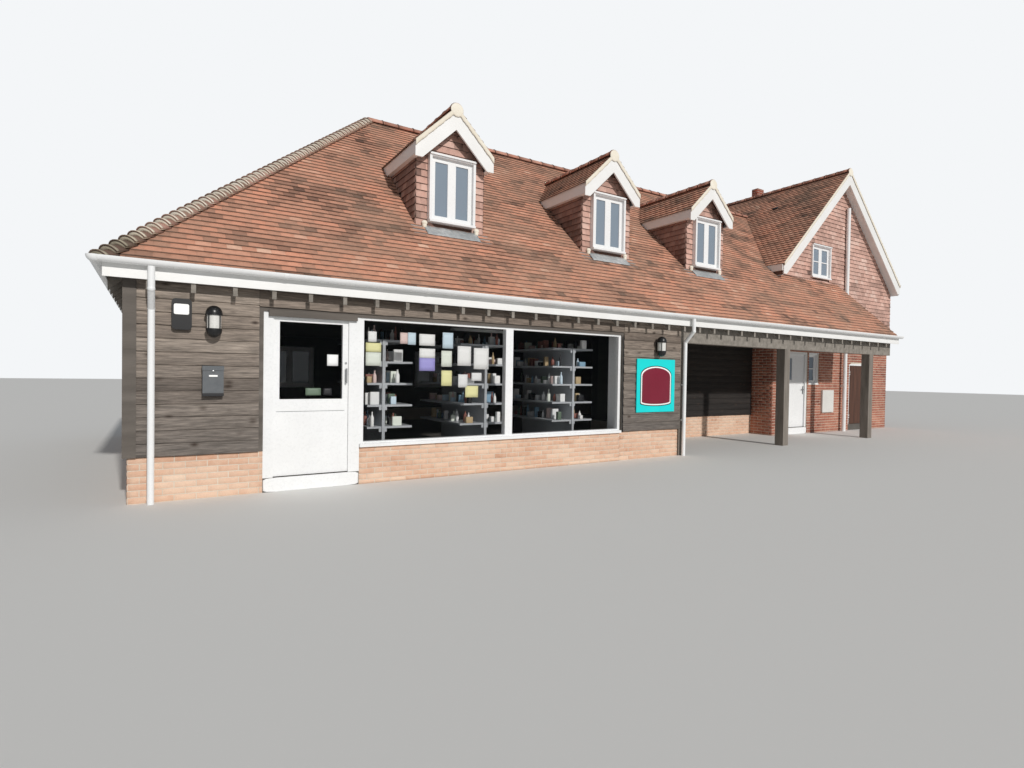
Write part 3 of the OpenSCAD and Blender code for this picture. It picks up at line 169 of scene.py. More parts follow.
build_floor()
build_world()
build_sun()
bpy.context.scene.view_settings.view_transform = "Standard"
print("stage ready")

# %% [markdown]
# The building's driving sizes, in metres, as in the part's own source. Everything below is
# worked out from them: where slopes start, where they meet, and which walls get tiles or bricks.

# %% Driving sizes
SHOP_LENGTH = 8.89
WING_START = 14.2
RANGE_DEPTH = 7.98
PORCH_DEPTH = 2.15
WING_WIDTH = 6.05
WING_FRONT = 1.5
PLINTH_TOP = 0.525
PLINTH_INSET = 0.02
CEILING = 2.40
HANGING_LEVEL = 2.75
HANGING_DEPTH = 0.045
EAVES_LEVEL = 2.69
EAVES_OUT = 0.20
MAIN_PITCH = math.radians(43.7)
RAFTER_DROP = 0.32
VERGE_X = 17.15
WING_RIDGE = 7.55
WING_PITCH = math.radians(44)
WING_ROOF_DEPTH = 0.30
WING_EAVES = 0.092
BARGE_OUT = 0.268
BARGE_THICK = 0.032
VERGE_OUT = 0.015
DORMERS = (4.46, 7.91, 10.87)
DORMER_FRONT = 1.097
DORMER_HALF = 0.62
DORMER_RIDGE = 5.90
DORMER_PITCH = math.radians(44)
DORMER_ROOF_DEPTH = 0.13
DORMER_EAVES = 0.095
DORMER_OUT = 0.17
DORMER_SILL, DORMER_HEAD, DORMER_WINDOW = 3.999, 5.119, 0.846
FRAME_LEFT, FRAME_JOINT, FRAME_RIGHT = 1.413, 2.625, 7.365
FRAME_TOP = 2.26
SHOP_SILL = 0.507
SURROUND = 0.05

RIDGE_Y = RANGE_DEPTH / 2
WING_CENTRE = WING_START + WING_WIDTH / 2
WING_END = WING_START + WING_WIDTH
WING_FOOT = WING_WIDTH / 2 + WING_EAVES
RANGE_RIDGE = EAVES_LEVEL + (RIDGE_Y + EAVES_OUT) * math.tan(MAIN_PITCH)
DORMER_BACK = (DORMER_RIDGE - EAVES_LEVEL) / math.tan(MAIN_PITCH) - EAVES_OUT


def range_height(y):
    """Height of the long roof's tiles over plan place y: eaves + (distance in from the fascia) *
    tan(pitch)."""
    inward = np.minimum(y, RANGE_DEPTH - y) + EAVES_OUT
    return EAVES_LEVEL + inward * math.tan(MAIN_PITCH)


def wing_height(x):
    """Height of the wing's tiles over plan place x: ridge - |x - centre| * tan(pitch)."""
    return WING_RIDGE - np.abs(x - WING_CENTRE) * math.tan(WING_PITCH)


print("ridge heights", round(RANGE_RIDGE, 3), WING_RIDGE)

# %% [markdown]
# Every small piece is laid on a face: a flat side of the building with its own two directions,
# along and up, and an outward normal. A brick or a tile is then drawn once, in that face's
# coordinates, and repeated as one big array. Geometry nodes could scatter them too; arrays keep
# full control of the bond, the cut tiles at hips and the holes round windows.

# %% A face and the way a mesh is made from arrays
RIGHTWARD, LEFTWARD, FORWARD, REARWARD, UPWARD = (1, 0, 0), (-1, 0, 0), (0, -1, 0), (0, 1, 0), (0, 0, 1)


class Face:
    """A plane given by a corner, a direction along it and a direction up it."""

    def __init__(self, corner, along, up):
        self.corner = np.array(corner, float)
        self.along = np.array(along, float) / np.linalg.norm(along)
        self.up = np.array(up, float) / np.linalg.norm(up)
        self.out = np.cross(self.along, self.up)

    def place(self, across, upward, outward):
        """corner + across * along + upward * up + outward * normal, for whole arrays."""
        return (
            self.corner
            + across[..., None] * self.along
            + upward[..., None] * self.up
            + outward[..., None] * self.out
        )


def make_piece(name, points, faces, material, body="building", values=None, smooth=False):
    """A mesh object from an (n, 3) array of points and an (m, 4) array of corners. values are
    named numbers kept at each point, which the materials read."""
    points = np.ascontiguousarray(points, np.float32).reshape(-1, 3)
    faces = np.ascontiguousarray(faces, np.int32)
    corners = faces.shape[1]
    mesh = bpy.data.meshes.new(name)
    mesh.vertices.add(len(points))
    mesh.vertices.foreach_set("co", points.ravel())
    mesh.loops.add(faces.size)
    mesh.loops.foreach_set("vertex_index", faces.ravel())
    mesh.polygons.add(len(faces))
    mesh.polygons.foreach_set("loop_start", np.arange(0, faces.size, corners, dtype=np.int32))
    mesh.polygons.foreach_set("loop_total", np.full(len(faces), corners, dtype=np.int32))
    mesh.update(calc_edges=True)
    if smooth:
        mesh.polygons.foreach_set("use_smooth", np.ones(len(faces), dtype=bool))
    for key, numbers in (values or {}).items():
        layer = mesh.attributes.new(key, "FLOAT", "POINT")
        layer.data.foreach_set("value", np.ascontiguousarray(numbers, np.float32).ravel())
    mesh.materials.append(material)
    piece = bpy.data.objects.new(name, mesh)
    bpy.context.scene.collection.objects.link(piece)
    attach(piece, body)
    print(name, len(points), "points,", len(faces), "faces")
    return piece


# %% [markdown]
# Clay tiles, bricks and boards differ one from the next, so each carries a random number, its
# tone, and the material turns it into colour. Small blotches, grain and knots repeat in many
# finishes, so they are node groups that each material sets with its own values.

# %% Node groups for blotches, grain and knots
def open_group(name, numbers, outputs):
    """A shader node group with a Vector input, number inputs and named outputs."""
    group = bpy.data.node_groups.new(name, "ShaderNodeTree")
    group.interface.new_socket(name="Vector", in_out="INPUT", socket_type="NodeSocketVector")
    for key, value in numbers.items():
        socket = group.interface.new_socket(name=key, in_out="INPUT", socket_type="NodeSocketFloat")
        socket.default_value = value
    for key, kind in outputs.items():
        group.interface.new_socket(name=key, in_out="OUTPUT", socket_type=f"NodeSocket{kind}")
    return group, group.nodes.new("NodeGroupInput").outputs


def pick(sockets, *keys):
    """Named sockets as inputs of the same names."""
    return {key: sockets[key] for key in keys}


def build_blotch_group():
    """Blotch = smoothstep of noise(position * Scale) between 0.5 - Soft and 0.5 + Soft."""
    group, given = open_group("Blotches", {"Scale": 4.0, "Soft": 0.15}, {"Mask": "Float"})
    noise = node_of(group, "ShaderNodeTexNoise", pick(given, "Vector", "Scale") | {"Detail": 4, "Roughness": 0.6})
    low, high = (
        node_of(group, "ShaderNodeMath", {0: 0.5, 1: given["Soft"]}, operation=way).outputs[0]
        for way in ("SUBTRACT", "ADD")
    )
    step = node_of(
        group, "ShaderNodeMapRange", {"Value": noise.outputs["Fac"], "From Min": low, "From Max": high},
        interpolation_type="SMOOTHSTEP",
    )
    node_of(group, "NodeGroupOutput", {"Mask": step.outputs["Result"]})
    return group


def build_grain_group():
    """The mask is fine noise in eight octaves, and the normal is a bump from the same noise."""
    group, given = open_group("Grain", {"Scale": 60.0, "Depth": 0.3}, {"Normal": "Vector", "Mask": "Float"})
    noise = node_of(group, "ShaderNodeTexNoise", pick(given, "Vector", "Scale") | {"Detail": 8, "Roughness": 0.7})
    mask = noise.outputs["Fac"]
    bump = node_of(group, "ShaderNodeBump", {"Distance": 0.004, "Strength": given["Depth"], "Height": mask})
    node_of(group, "NodeGroupOutput", {"Normal": bump.outputs["Normal"], "Mask": mask})
    return group


def build_knot_group():
    """Knots: 1 at the points of a Voronoi pattern, falling to 0 at Reach from them, as smoothstep
    of the distance."""
    group, given = open_group("Knots", {"Scale": 2.4, "Reach": 0.1}, {"Mask": "Float"})
    cells = node_of(group, "ShaderNodeTexVoronoi", pick(given, "Vector", "Scale"))
    step = node_of(
        group, "ShaderNodeMapRange",
        {"Value": cells.outputs["Distance"], "From Max": given["Reach"], "To Min": 1.0, "To Max": 0.0},
        interpolation_type="SMOOTHSTEP",
    )
    node_of(group, "NodeGroupOutput", {"Mask": step.outputs["Result"]})
    return group


BLOTCHES, GRAIN, KNOTS = build_blotch_group(), build_grain_group(), build_knot_group()
print("groups", BLOTCHES.name, GRAIN.name, KNOTS.name)

# %% [markdown]
# A finish is written as a short recipe: a ramp of colours that a tile's or brick's own tone picks
# from, blotches of a second colour over it, and fine grain in its roughness and relief. One
# function builds them all, so that clay, mortar, paint and metal differ only in their numbers.

# %% The recipe for a finish
def mix_colours(tree, factor, first, second, blend="MIX"):
    """A colour mix whose factor and colours may be sockets or plain values."""
    inputs = {0: factor, 6: first, 7: second}
    return node_of(tree, "ShaderNodeMix", inputs, data_type="RGBA", blend_type=blend).outputs[2]


def map_range(tree, value, to, start=(0.0, 1.0)):
    """A value carried from the start range to another, and held at that one's ends."""
    keys = ("Value", "From Min", "From Max", "To Min", "To Max")
    return node_of(tree, "ShaderNodeMapRange", dict(zip(keys, (value, *start, *to)))).outputs["Result"]


def place_group(tree, group, vector, **values):
    """A node group in a material with its named inputs set; gives its outputs."""
    return node_of(tree, "ShaderNodeGroup", {"Vector": vector} | values, node_tree=group).outputs


def stretched(tree, stretch):
    """Object coordinates squeezed by stretch along each axis."""
    where = node_of(tree, "ShaderNodeTexCoord").outputs["Object"]
    return node_of(tree, "ShaderNodeMapping", {"Vector": where, "Scale": stretch}).outputs["Vector"]


def own_tone(tree):
    """The tone that each tile, brick or board carries."""
    return node_of(tree, "ShaderNodeAttribute", attribute_name="tone").outputs["Fac"]


def colour_ramp(tree, factor, stops, steps=False):
    """A ramp through (place, red, green, blue) stops, blended or in steps."""
    ramp = node_of(tree, "ShaderNodeValToRGB", {"Fac": factor})
    if steps:
        ramp.color_ramp.interpolation = "CONSTANT"
    elements = ramp.color_ramp.elements
    while len(elements) < len(stops):
        elements.new(0.5)
    for element, (place, *tint) in zip(elements, stops):
        element.position = place
        element.color = colour(*tint)
    return ramp.outputs["Color"]


def finish(
    name, stops, stain=None, grain=(60, 0.3), rough=(0.7, 0.9), speck=(0.86, 1.08), stretch=(1, 1, 1),
    metallic=0.0, toned=False, steps=False,
):
    """Colour = ramp(tone), stained in blotches, times a speck that runs with the grain; roughness
    runs between the two rough numbers with the grain; the grain also gives the relief. stain is a
    colour, its blotches' scale and their strength; grain is a scale and a depth. What isn't toned
    piece by piece takes its tone from soft blotches."""
    material, tree, skin = fresh_material(name)
    vector = stretched(tree, stretch)
    source = own_tone(tree) if toned else place_group(tree, BLOTCHES, vector, Scale=2.0, Soft=0.35)["Mask"]
    tint = colour_ramp(tree, source, stops, steps)
    relief = place_group(tree, GRAIN, vector, Scale=grain[0], Depth=grain[1])
    if stain:
        patch, scale, strength = stain
        blotch = place_group(tree, BLOTCHES, vector, Scale=scale, Soft=0.2)["Mask"]
        amount = node_of(tree, "ShaderNodeMath", {0: blotch, 1: strength}, operation="MULTIPLY")
        tint = mix_colours(tree, amount.outputs[0], tint, colour(*patch))
    flecks = map_range(tree, relief["Mask"], speck, (0.3, 0.7))
    set_inputs(skin, {
        "Base Color": mix_colours(tree, 1.0, tint, flecks, "MULTIPLY"), "Metallic": metallic,
        "Roughness": map_range(tree, relief["Mask"], rough), "Normal": relief["Normal"],
    })
    return material


ROOF_CLAY = finish("roof_clay", [
    (0.0, 62, 44, 36), (0.2, 146, 108, 90), (0.5, 208, 152, 126), (0.75, 230, 160, 130), (1.0, 242, 198, 172),
], ((158, 136, 118), 1.1, 0.4), (45, 0.3), toned=True)
HUNG_CLAY = finish("hung_clay", [
    (0.0, 58, 38, 32), (0.25, 182, 144, 130), (0.6, 220, 176, 160), (1.0, 242, 214, 200),
], ((156, 132, 122), 2.4, 0.35), (45, 0.3), toned=True)
# The dormers' cheeks take a darker copy of the hung clay: painted shade on their sides.
PAINTED_SHADE_CHEEK_CLAY = finish("cheek_clay_painted_shade", [
    (0.0, 40, 28, 24), (0.25, 112, 84, 74), (0.6, 146, 110, 98), (1.0, 176, 142, 128),
], ((156, 132, 122), 2.4, 0.35), (45, 0.3), toned=True)
BRICK = finish("fired_brick", [
    (0.0, 186, 132, 104), (0.25, 212, 166, 138), (0.6, 226, 188, 162), (1.0, 236, 206, 182),
], ((232, 208, 184), 9, 0.4), (90, 0.5), toned=True)
# The wing's brick is redder than the plinth's by its own colour, and darkened further as painted shade of the porch.
WING_BRICK = finish("wing_brick", [
    (0.0, 104, 54, 42), (0.3, 146, 82, 64), (0.7, 172, 106, 84), (1.0, 196, 138, 114),
], ((196, 150, 128), 9, 0.35), (90, 0.5), toned=True)
RED_BRICK = finish("chimney_brick", [
    (0.0, 132, 62, 46), (0.5, 172, 84, 62), (1.0, 200, 116, 90),
], ((120, 76, 62), 8, 0.5), (90, 0.5), toned=True)
MORTAR = finish("pale_mortar", [
    (0.0, 206, 194, 178), (1.0, 230, 220, 204),
], ((190, 174, 156), 6, 0.35), (150, 0.5))
BEDDING = finish("roof_bedding", [
    (0.0, 104, 98, 82), (0.3, 206, 194, 172), (1.0, 246, 240, 226),
], ((224, 212, 188), 7, 0.4), (70, 0.6), speck=(0.93, 1.04), toned=True)
RIDGE_CLAY = finish("ridge_clay", [
    (0.0, 158, 110, 94), (0.5, 196, 136, 114), (1.0, 214, 162, 142),
], ((168, 142, 126), 5, 0.35), toned=True)
HIP_CLAY = finish("hip_clay", [
    (0.0, 74, 64, 54), (0.3, 128, 98, 86), (0.65, 168, 128, 114), (1.0, 194, 152, 138),
], ((136, 118, 102), 6, 0.5), toned=True)
UNDER_CLAY = finish("under_clay", [(0.0, 84, 62, 54), (1.0, 108, 80, 68)], grain=(50, 0.3))
SCREED = finish("screed", [(0.0, 82, 78, 74), (1.0, 104, 100, 94)], grain=(90, 0.3))
print("clay and mortar finishes", len(bpy.data.materials))

# %% [markdown]
# Rough sawn oak and softwood weather to grey, with dark streaks along the grain, dark knots, and
# a paler, greyer wash where rain splashes up. The boards' grain runs along them, so their noise
# is squeezed in height. A scanned texture would repeat; noise doesn't, and it needs no image.

# %% Timber
def board_finish(name, stops, low_tint):
    """Sawn boards: the board's own tone, streaks along the grain, dark knots, and a grey wash
    that grows towards the ground as 0.75 * (1 - (height - 0.6) / 1.6)."""
    material, tree, skin = fresh_material(name)
    along = stretched(tree, (0.8, 0.8, 16))
    tint = colour_ramp(tree, own_tone(tree), stops)
    where = node_of(tree, "ShaderNodeSeparateXYZ", {0: stretched(tree, (1, 1, 1))})
    wash = map_range(tree, where.outputs["Z"], (0.75, 0.0), (0.6, 2.2))
    tint = mix_colours(tree, wash, tint, colour(*low_tint))
    for scale, depth in ((2.0, 0.45), (6.0, 0.5)):
        streaks = place_group(tree, GRAIN, along, Scale=scale, Depth=depth)
        spread = map_range(tree, streaks["Mask"], (0.6, 1.28), (0.36, 0.64))
        tint = mix_colours(tree, 1.0, tint, spread, "MULTIPLY")
    knots = place_group(tree, KNOTS, stretched(tree, (1, 1, 1.9)), Scale=3.2, Reach=0.24)["Mask"]
    tint = mix_colours(tree, knots, tint, colour(58, 46, 38))
    set_inputs(skin, {"Base Color": tint, "Roughness": 0.85, "Normal": streaks["Normal"]})
    return material


BOARDS = board_finish("weathered_boards", [
    (0.0, 100, 89, 80), (0.4, 130, 117, 106), (0.75, 156, 143, 131), (1.0, 182, 170, 158),
], (106, 101, 97))
# The porch's boards are near black: painted shade for the deep shadow inside the porch.
PAINTED_SHADE_PORCH_BOARDS = board_finish("porch_boards_painted_shade", [(0.0, 30, 26, 23), (1.0, 54, 47, 42)], (36, 32, 30))
DARK_TIMBER = finish("dark_timber", [
    (0.0, 34, 30, 27), (1.0, 60, 53, 48),
], grain=(30, 0.5), stretch=(1, 1, 4))
BEAM_TIMBER = finish("beam_timber", [
    (0.0, 84, 78, 72), (0.6, 112, 105, 98), (1.0, 140, 133, 125),
], ((70, 64, 59), 4, 0.5), (24, 0.5), stretch=(0.5, 5, 5))
FEET_TIMBER = finish("feet_timber", [
    (0.0, 112, 106, 98), (1.0, 158, 151, 142),
], grain=(24, 0.4), stretch=(5, 0.6, 5))
POST_TIMBER = finish("post_timber", [
    (0.0, 108, 101, 93), (1.0, 146, 138, 129),
], grain=(24, 0.5), stretch=(5, 5, 0.6))
BROWN_BOARDS = finish("brown_boards", [
    (0.0, 58, 36, 28), (1.0, 98, 64, 48),
], grain=(24, 0.4), stretch=(8, 8, 0.5))
LINING = finish("lining", [(0.0, 104, 100, 95), (1.0, 122, 118, 112)], grain=(30, 0.1))
print("with timber", len(bpy.data.materials))

# %% [markdown]
# Paint, plastic, lead and coated metal are nearly even in colour. What tells them apart is how
# sharp their gloss is and how fine their relief, so these recipes have a faint grain, narrow
# ranges of roughness, and metal only where bare metal shows.

# %% Paint, plastic and metal
WHITE_PAINT = finish("white_paint", [
    (0.0, 236, 236, 234), (1.0, 244, 244, 243),
], ((226, 224, 219), 1.5, 0.3), (40, 0.05), (0.3, 0.45), (0.985, 1.01))
WHITE_PLASTIC = finish("white_plastic", [
    (0.0, 238, 239, 240), (1.0, 246, 247, 247),
], ((228, 228, 226), 1.2, 0.3), (30, 0.03), (0.22, 0.34), (0.985, 1.01))
LEAD = finish("lead_sheet", [
    (0.0, 156, 160, 162), (0.5, 190, 193, 193), (1.0, 226, 228, 228),
], ((136, 142, 147), 16, 0.55), (26, 0.35), (0.45, 0.7), metallic=0.15)
GREY_METAL = finish("grey_coat", [
    (0.0, 82, 86, 90), (1.0, 100, 104, 108),
], ((120, 122, 122), 12, 0.2), (120, 0.08), (0.35, 0.5))
SATIN, BLACK_METAL, SHELF_METAL, METER_PLASTIC, MAROON = (
    finish(name, [(0.0, *dark), (1.0, *pale)], None, grain, rough, metallic=metallic)
    for name, dark, pale, grain, rough, metallic in (
        ("satin_metal", (176, 177, 178), (200, 201, 202), (200, 0.05), (0.25, 0.38), 0.9),
        ("black_paint", (20, 20, 21), (34, 34, 35), (80, 0.08), (0.25, 0.4), 0.0),
        ("shelf_coat", (176, 180, 184), (198, 202, 206), (80, 0.04), (0.3, 0.45), 0.0),
        ("meter_plastic", (214, 213, 208), (230, 229, 225), (60, 0.05), (0.4, 0.55), 0.0),
        ("maroon_panel", (116, 12, 40), (128, 20, 48), (60, 0.03), (0.35, 0.45), 0.0),
    )
)
SIGN_BLUE = finish(
    "sign_board", [(0.0, 0, 214, 214), (1.0, 8, 224, 222)], None, (60, 0.03), (0.35, 0.45), (0.98, 1.02),
)
PRINT_COLOURS = (
    (244, 245, 244), (252, 252, 250), (214, 234, 246), (240, 246, 234), (140, 176, 200), (172, 166, 232),
    (246, 242, 180), (236, 210, 204), (150, 96, 84), (196, 172, 132), (104, 122, 104), (26, 26, 30),
)
PRINTED = finish(
    "printed_stock", [(place / len(PRINT_COLOURS), *tint) for place, tint in enumerate(PRINT_COLOURS)],
    None, (120, 0.04), (0.45, 0.6), (0.97, 1.02), toned=True, steps=True,
)
print("finishes", len(bpy.data.materials))

# %% [markdown]
# Window glass is thin and clear, but it throws a soft reflection. A plain Principled with full
# transmission would also cut the daylight off from the room; alpha keeps the room visible and
# lets light in, and the surface's own gloss still shines.

# %% Glass
def glass(name, tint, alpha):
    """A glossy sheet of one tint that lets (1 - alpha) of what is behind it through."""
    material, tree, skin = fresh_material(name)
    set_inputs(skin, {"Base Color": colour(*tint), "Roughness": 0.03, "IOR": 1.5, "Alpha": alpha})
    return material


SHOP_GLASS = glass("shop_glass", (20, 24, 26), 0.07)
ROOM_GLASS = glass("room_glass", (142, 156, 170), 0.85)
print("glass", SHOP_GLASS.name, ROOM_GLASS.name)

# %% [markdown]
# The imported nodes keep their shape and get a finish. Walls under bricks show only as the joints
# between them, so they take the mortar; roofs under tiles take the tile's own clay, for the thin
# lines that show between tiles.

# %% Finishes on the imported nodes
NODE_FINISH = {name: material for material, names in (
    (MORTAR, "shop_plinth house_front_wall house_front_upper house_side_walls house_rear_wall chimney"),
    (DARK_TIMBER, "shop_front_boards shop_front_header shop_side_boards shop_rear_boards"),
    (PAINTED_SHADE_PORCH_BOARDS, "porch_back_boards"),
    (FEET_TIMBER, "rafter_feet porch_beam"),
    (BEAM_TIMBER, "corner_boards shopfront_surround"),
    (POST_TIMBER, "porch_posts"),
    (UNDER_CLAY, "tile_hanging dormer_one dormer_two dormer_three dormer_roofs"),
    (UNDER_CLAY, "roof_front roof_rear roof_hip wing_roof_left wing_roof_right"),
    (RIDGE_CLAY, "ridge_tiles hip_tiles"),
    (SCREED, "ground_floor"),
    (LINING, "upper_floor"),
    (WHITE_PAINT, "fascias dormer_bargeboards wing_bargeboards"),
    (WHITE_PLASTIC, "gutters downpipes soil_pipe window_frames shop_window_frame"),
    (WHITE_PLASTIC, "shop_door_frame shop_door house_door_frames house_door"),
    (LEAD, "dormer_aprons"),
    (ROOM_GLASS, "window_glass house_door_glass"),
    (SHOP_GLASS, "shop_window_glass shop_door_glass"),
    (SATIN, "shop_door_handle"),
    (GREY_METAL, "house_door_handle post_box"),
    (BLACK_METAL, "lanterns alarm_box"),
    (BROWN_BOARDS, "store_door"),
    (METER_PLASTIC, "meter_box lantern_glass"),
    (SIGN_BLUE, "sign_board"),
    (SHELF_METAL, "shop_shelving"),
) for name in names.split()}
for name, node in nodes.items():
    node.data.materials.clear()
    node.data.materials.append(NODE_FINISH[name])
print("dressed", len(nodes), "nodes")

# %% [markdown]
# Laying a field of bricks or tiles. The unit is a few points in the face's own coordinates, and
# the field repeats it with a stagger in every second course. Units that cross a hip, a verge or a
# window are cut there by pushing their points back to the cutting line, as a tiler cuts a tile.

# %% Laying a field of equal units
SLIVER = 0.012


def outside_holes(holes, across, upward, part):
    """True where a unit's centre isn't in any hole (left, right, low, high), or lies in it by less
    than part, so that a cut unit is left at the hole's side."""
    keep = np.ones(across.shape, bool)
    for left, right, low, high in holes:
        keep &= ~((across > left + part) & (across < right - part) & (upward > low) & (upward < high))
    return keep


def push_out_of_holes(holes, centre_across, centre_up, across, upward):
    """Points inside a hole move to the side of it that their unit's centre is on."""
    for left, right, low, high in holes:
        inside = (across > left) & (across < right) & (upward > low) & (upward < high)
        below, above = centre_up <= low, centre_up >= high
        before = centre_across <= (left + right) / 2
        upward = np.where(inside & below, low, np.where(inside & above, high, upward))
        side = np.where(before, left, right)
        across = np.where(inside & ~below & ~above, side, across)
    return across, upward


def patches(random, across, upward, cell=(0.55, 0.22)):
    """Value noise: random numbers on a grid of cells, read between grid points by the smooth
    step 3t^2 - 2t^3 in both directions."""
    u, v = across / cell[0], upward / cell[1]
    u, v = u - np.min(u), v - np.min(v)
    grid = random.random((int(np.max(v)) + 2, int(np.max(u)) + 2))
    column, row = u.astype(int), v.astype(int)
    s, t = u - column, v - row
    s, t = s * s * (3 - 2 * s), t * t * (3 - 2 * t)
    low = grid[row, column] * (1 - s) + grid[row, column + 1] * s
    high = grid[row + 1, column] * (1 - s) + grid[row + 1, column + 1] * s
    return low * (1 - t) + high * t


def lay_field(
    name, face, unit, extent, material, slot, limits=None, holes=(), keep_rule=None, seed=1, base=None,
):
    """Copies of a unit at (column + 0.5 + 0.5 * odd course) * pitch. A unit is its points, its
    quads, its pitch, its wobble, and how much of its tone its lower edge keeps, a painted shade
    under each course. limits gives, for heights up the face, the left and right ends there;
    keep_rule gets the centres and says which stay; base is the lowest height that a point may have."""
    shape, quads, (wide, tall), wobble, painted_tail_shade = unit
    random = np.random.default_rng(seed)
    (first, last), (low, high) = extent
    columns = np.arange(math.floor(first / wide) - 1, math.ceil(last / wide) + 1)
    courses = np.arange(0, math.ceil((high - low) / tall - 1e-6))
    column, course = (grid.ravel() for grid in np.meshgrid(columns, courses))
    centre = (column + 0.5 + 0.5 * (course % 2)) * wide
    bottom = low + course * tall
    middle = bottom + tall / 2
    ends = limits or (lambda height: (np.full_like(height, first), np.full_like(height, last)))
    left, right = ends(middle)
    keep = (centre + wide / 2 > left + SLIVER) & (centre - wide / 2 < right - SLIVER)
    keep &= outside_holes(holes, centre, middle, 0.42 * wide)
    if keep_rule is not None:
        keep &= keep_rule(centre, middle)
    centre, bottom, middle = centre[keep], bottom[keep], middle[keep]
    count = len(centre)
    shift = random.normal(0, 1, (3, count, 1)) * np.array(wobble)[:, None, None]
    lean = random.normal(0, 1, (count, 1)) * wobble[2]
    across = shape[None, :, 0] + centre[:, None] + shift[0]
    upward = shape[None, :, 1] + bottom[:, None] + shift[1] * 0.5
    outward = shape[None, :, 2] + np.abs(shift[2]) + lean * shape[None, :, 0] / wide
    across = np.clip(across, *ends(upward))
    upward = np.clip(upward, low - 0.01 if base is None else base, high)
    across, upward = push_out_of_holes(holes, centre[:, None], middle[:, None], across, upward)
    points = face.place(across, upward, outward)
    faces = (quads[None] + (np.arange(count) * len(shape))[:, None, None]).reshape(-1, quads.shape[1])
    own = 0.52 + 0.6 * (patches(random, centre, middle) - 0.5) + 0.5 * (random.beta(2.2, 2.2, count) - 0.5)
    tone = np.clip(own, 0, 1)[:, None] * np.where(shape[:, 1] <= 0, painted_tail_shade, 1.0)
    return make_piece(name, points, faces, material, values={"tone": tone})


# %% [markdown]
# A plain clay tile as it shows: 168 mm wide, very slightly humped, its tail standing about 20 mm
# over the tiles below. Only the part up to the next course is needed, so the unit is a tail's
# underside and edge, a narrow lip, the top up to the next course, and two side edges. The tail's
# edge keeps little of the tile's tone: painted shade, which draws a dark line under every course.

# %% The tile unit
TILE_WIDTH, TILE_HEAD, TILE_THICK = 0.168, 0.003, 0.018
TILE_GAUGE, HANG_GAUGE = 0.1125, 0.114
HUMP, SIDE_GAP, LIP = 0.0008, 0.0002, 0.007


def tile_unit(gauge, tail):
    """Fourteen points in rows across the width: tail underside, tail edge, a line one lip up the
    top, head edge, and two head undersides. The middle is lifted by the hump; the top falls
    evenly from tail height to head height."""
    half = (TILE_WIDTH - SIDE_GAP) / 2
    over = gauge * 1.12
    near = tail + (TILE_HEAD - tail) * LIP / over
    rows = ((0, tail - TILE_THICK), (0, tail), (LIP, near), (over, TILE_HEAD))
    points = [[x, up, out + HUMP * (x == 0)] for up, out in rows for x in (-half, 0, half)]
    points += [[x, over, TILE_HEAD - TILE_THICK] for x in (-half, half)]
    quads = [
        [0, 1, 4, 3], [1, 2, 5, 4], [3, 4, 7, 6], [4, 5, 8, 7],
        [6, 7, 10, 9], [7, 8, 11, 10], [12, 0, 3, 9], [2, 13, 11, 5],
    ]
    return np.array(points), np.array(quads)


# The last number is how much tone a tail keeps: painted shade under each course, darkest on hung tiles.
ROOF_TILE = (*tile_unit(TILE_GAUGE, 0.023), (TILE_WIDTH, TILE_GAUGE), (0.0002, 0.0008, 0.0003), 0.15)
HUNG_TILE = (*tile_unit(HANG_GAUGE, 0.022), (TILE_WIDTH, HANG_GAUGE), (0.0003, 0.0010, 0.0004), 0.0)
print("tile", TILE_WIDTH, "by", TILE_GAUGE)

# %% [markdown]
# The long roof. Its front slope runs from the left hip to the right verge, its rear slope to the
# wing, and the hip end closes the left side. Tiles that would lie inside a dormer or under the
# wing's roof are left out, by comparing the heights of the two roofs at each tile.

# %% Tiles of the long roof
SLOPE_LENGTH = (RIDGE_Y + EAVES_OUT) / math.cos(MAIN_PITCH)
EAVES_LIP = -0.035


def plan_inward(height_up):
    """Distance in from the wall face at a length up the slope: v * cos(pitch) - overhang."""
    return height_up * math.cos(MAIN_PITCH) - EAVES_OUT


def dormer_height(x, centre):
    """Height of a dormer's tiles: ridge - |x - centre| * tan(pitch)."""
    return DORMER_RIDGE - np.abs(x - centre) * math.tan(DORMER_PITCH)


def front_keep(across, upward):
    """Tiles stay where they aren't in a dormer and aren't under the wing's roof."""
    y = plan_inward(upward)
    level = range_height(y)
    keep = np.ones(across.shape, bool)
    for centre in DORMERS:
        offset = np.abs(across - centre)
        inner = (offset < DORMER_HALF - 0.06) & (y > DORMER_FRONT + 0.04)
        keep &= ~(inner & (level < dormer_height(across, centre) - 0.02))
    under = (across > WING_START) & (y > WING_FRONT + 0.02) & (level < wing_height(across) - 0.02)
    return keep & ~under


def rear_keep(across, upward):
    """The rear slope's face runs from right to left, so x is measured back from the verge."""
    x = VERGE_X - across
    level = range_height(plan_inward(upward))
    return ~((x > WING_START + 0.02) & (level < wing_height(x) - 0.02))


def front_limits(height_up):
    return plan_inward(height_up), np.full_like(height_up, VERGE_X)


def rear_limits(height_up):
    return np.zeros_like(height_up), VERGE_X - plan_inward(height_up)


def hip_limits(height_up):
    return plan_inward(height_up), RANGE_DEPTH - plan_inward(height_up)


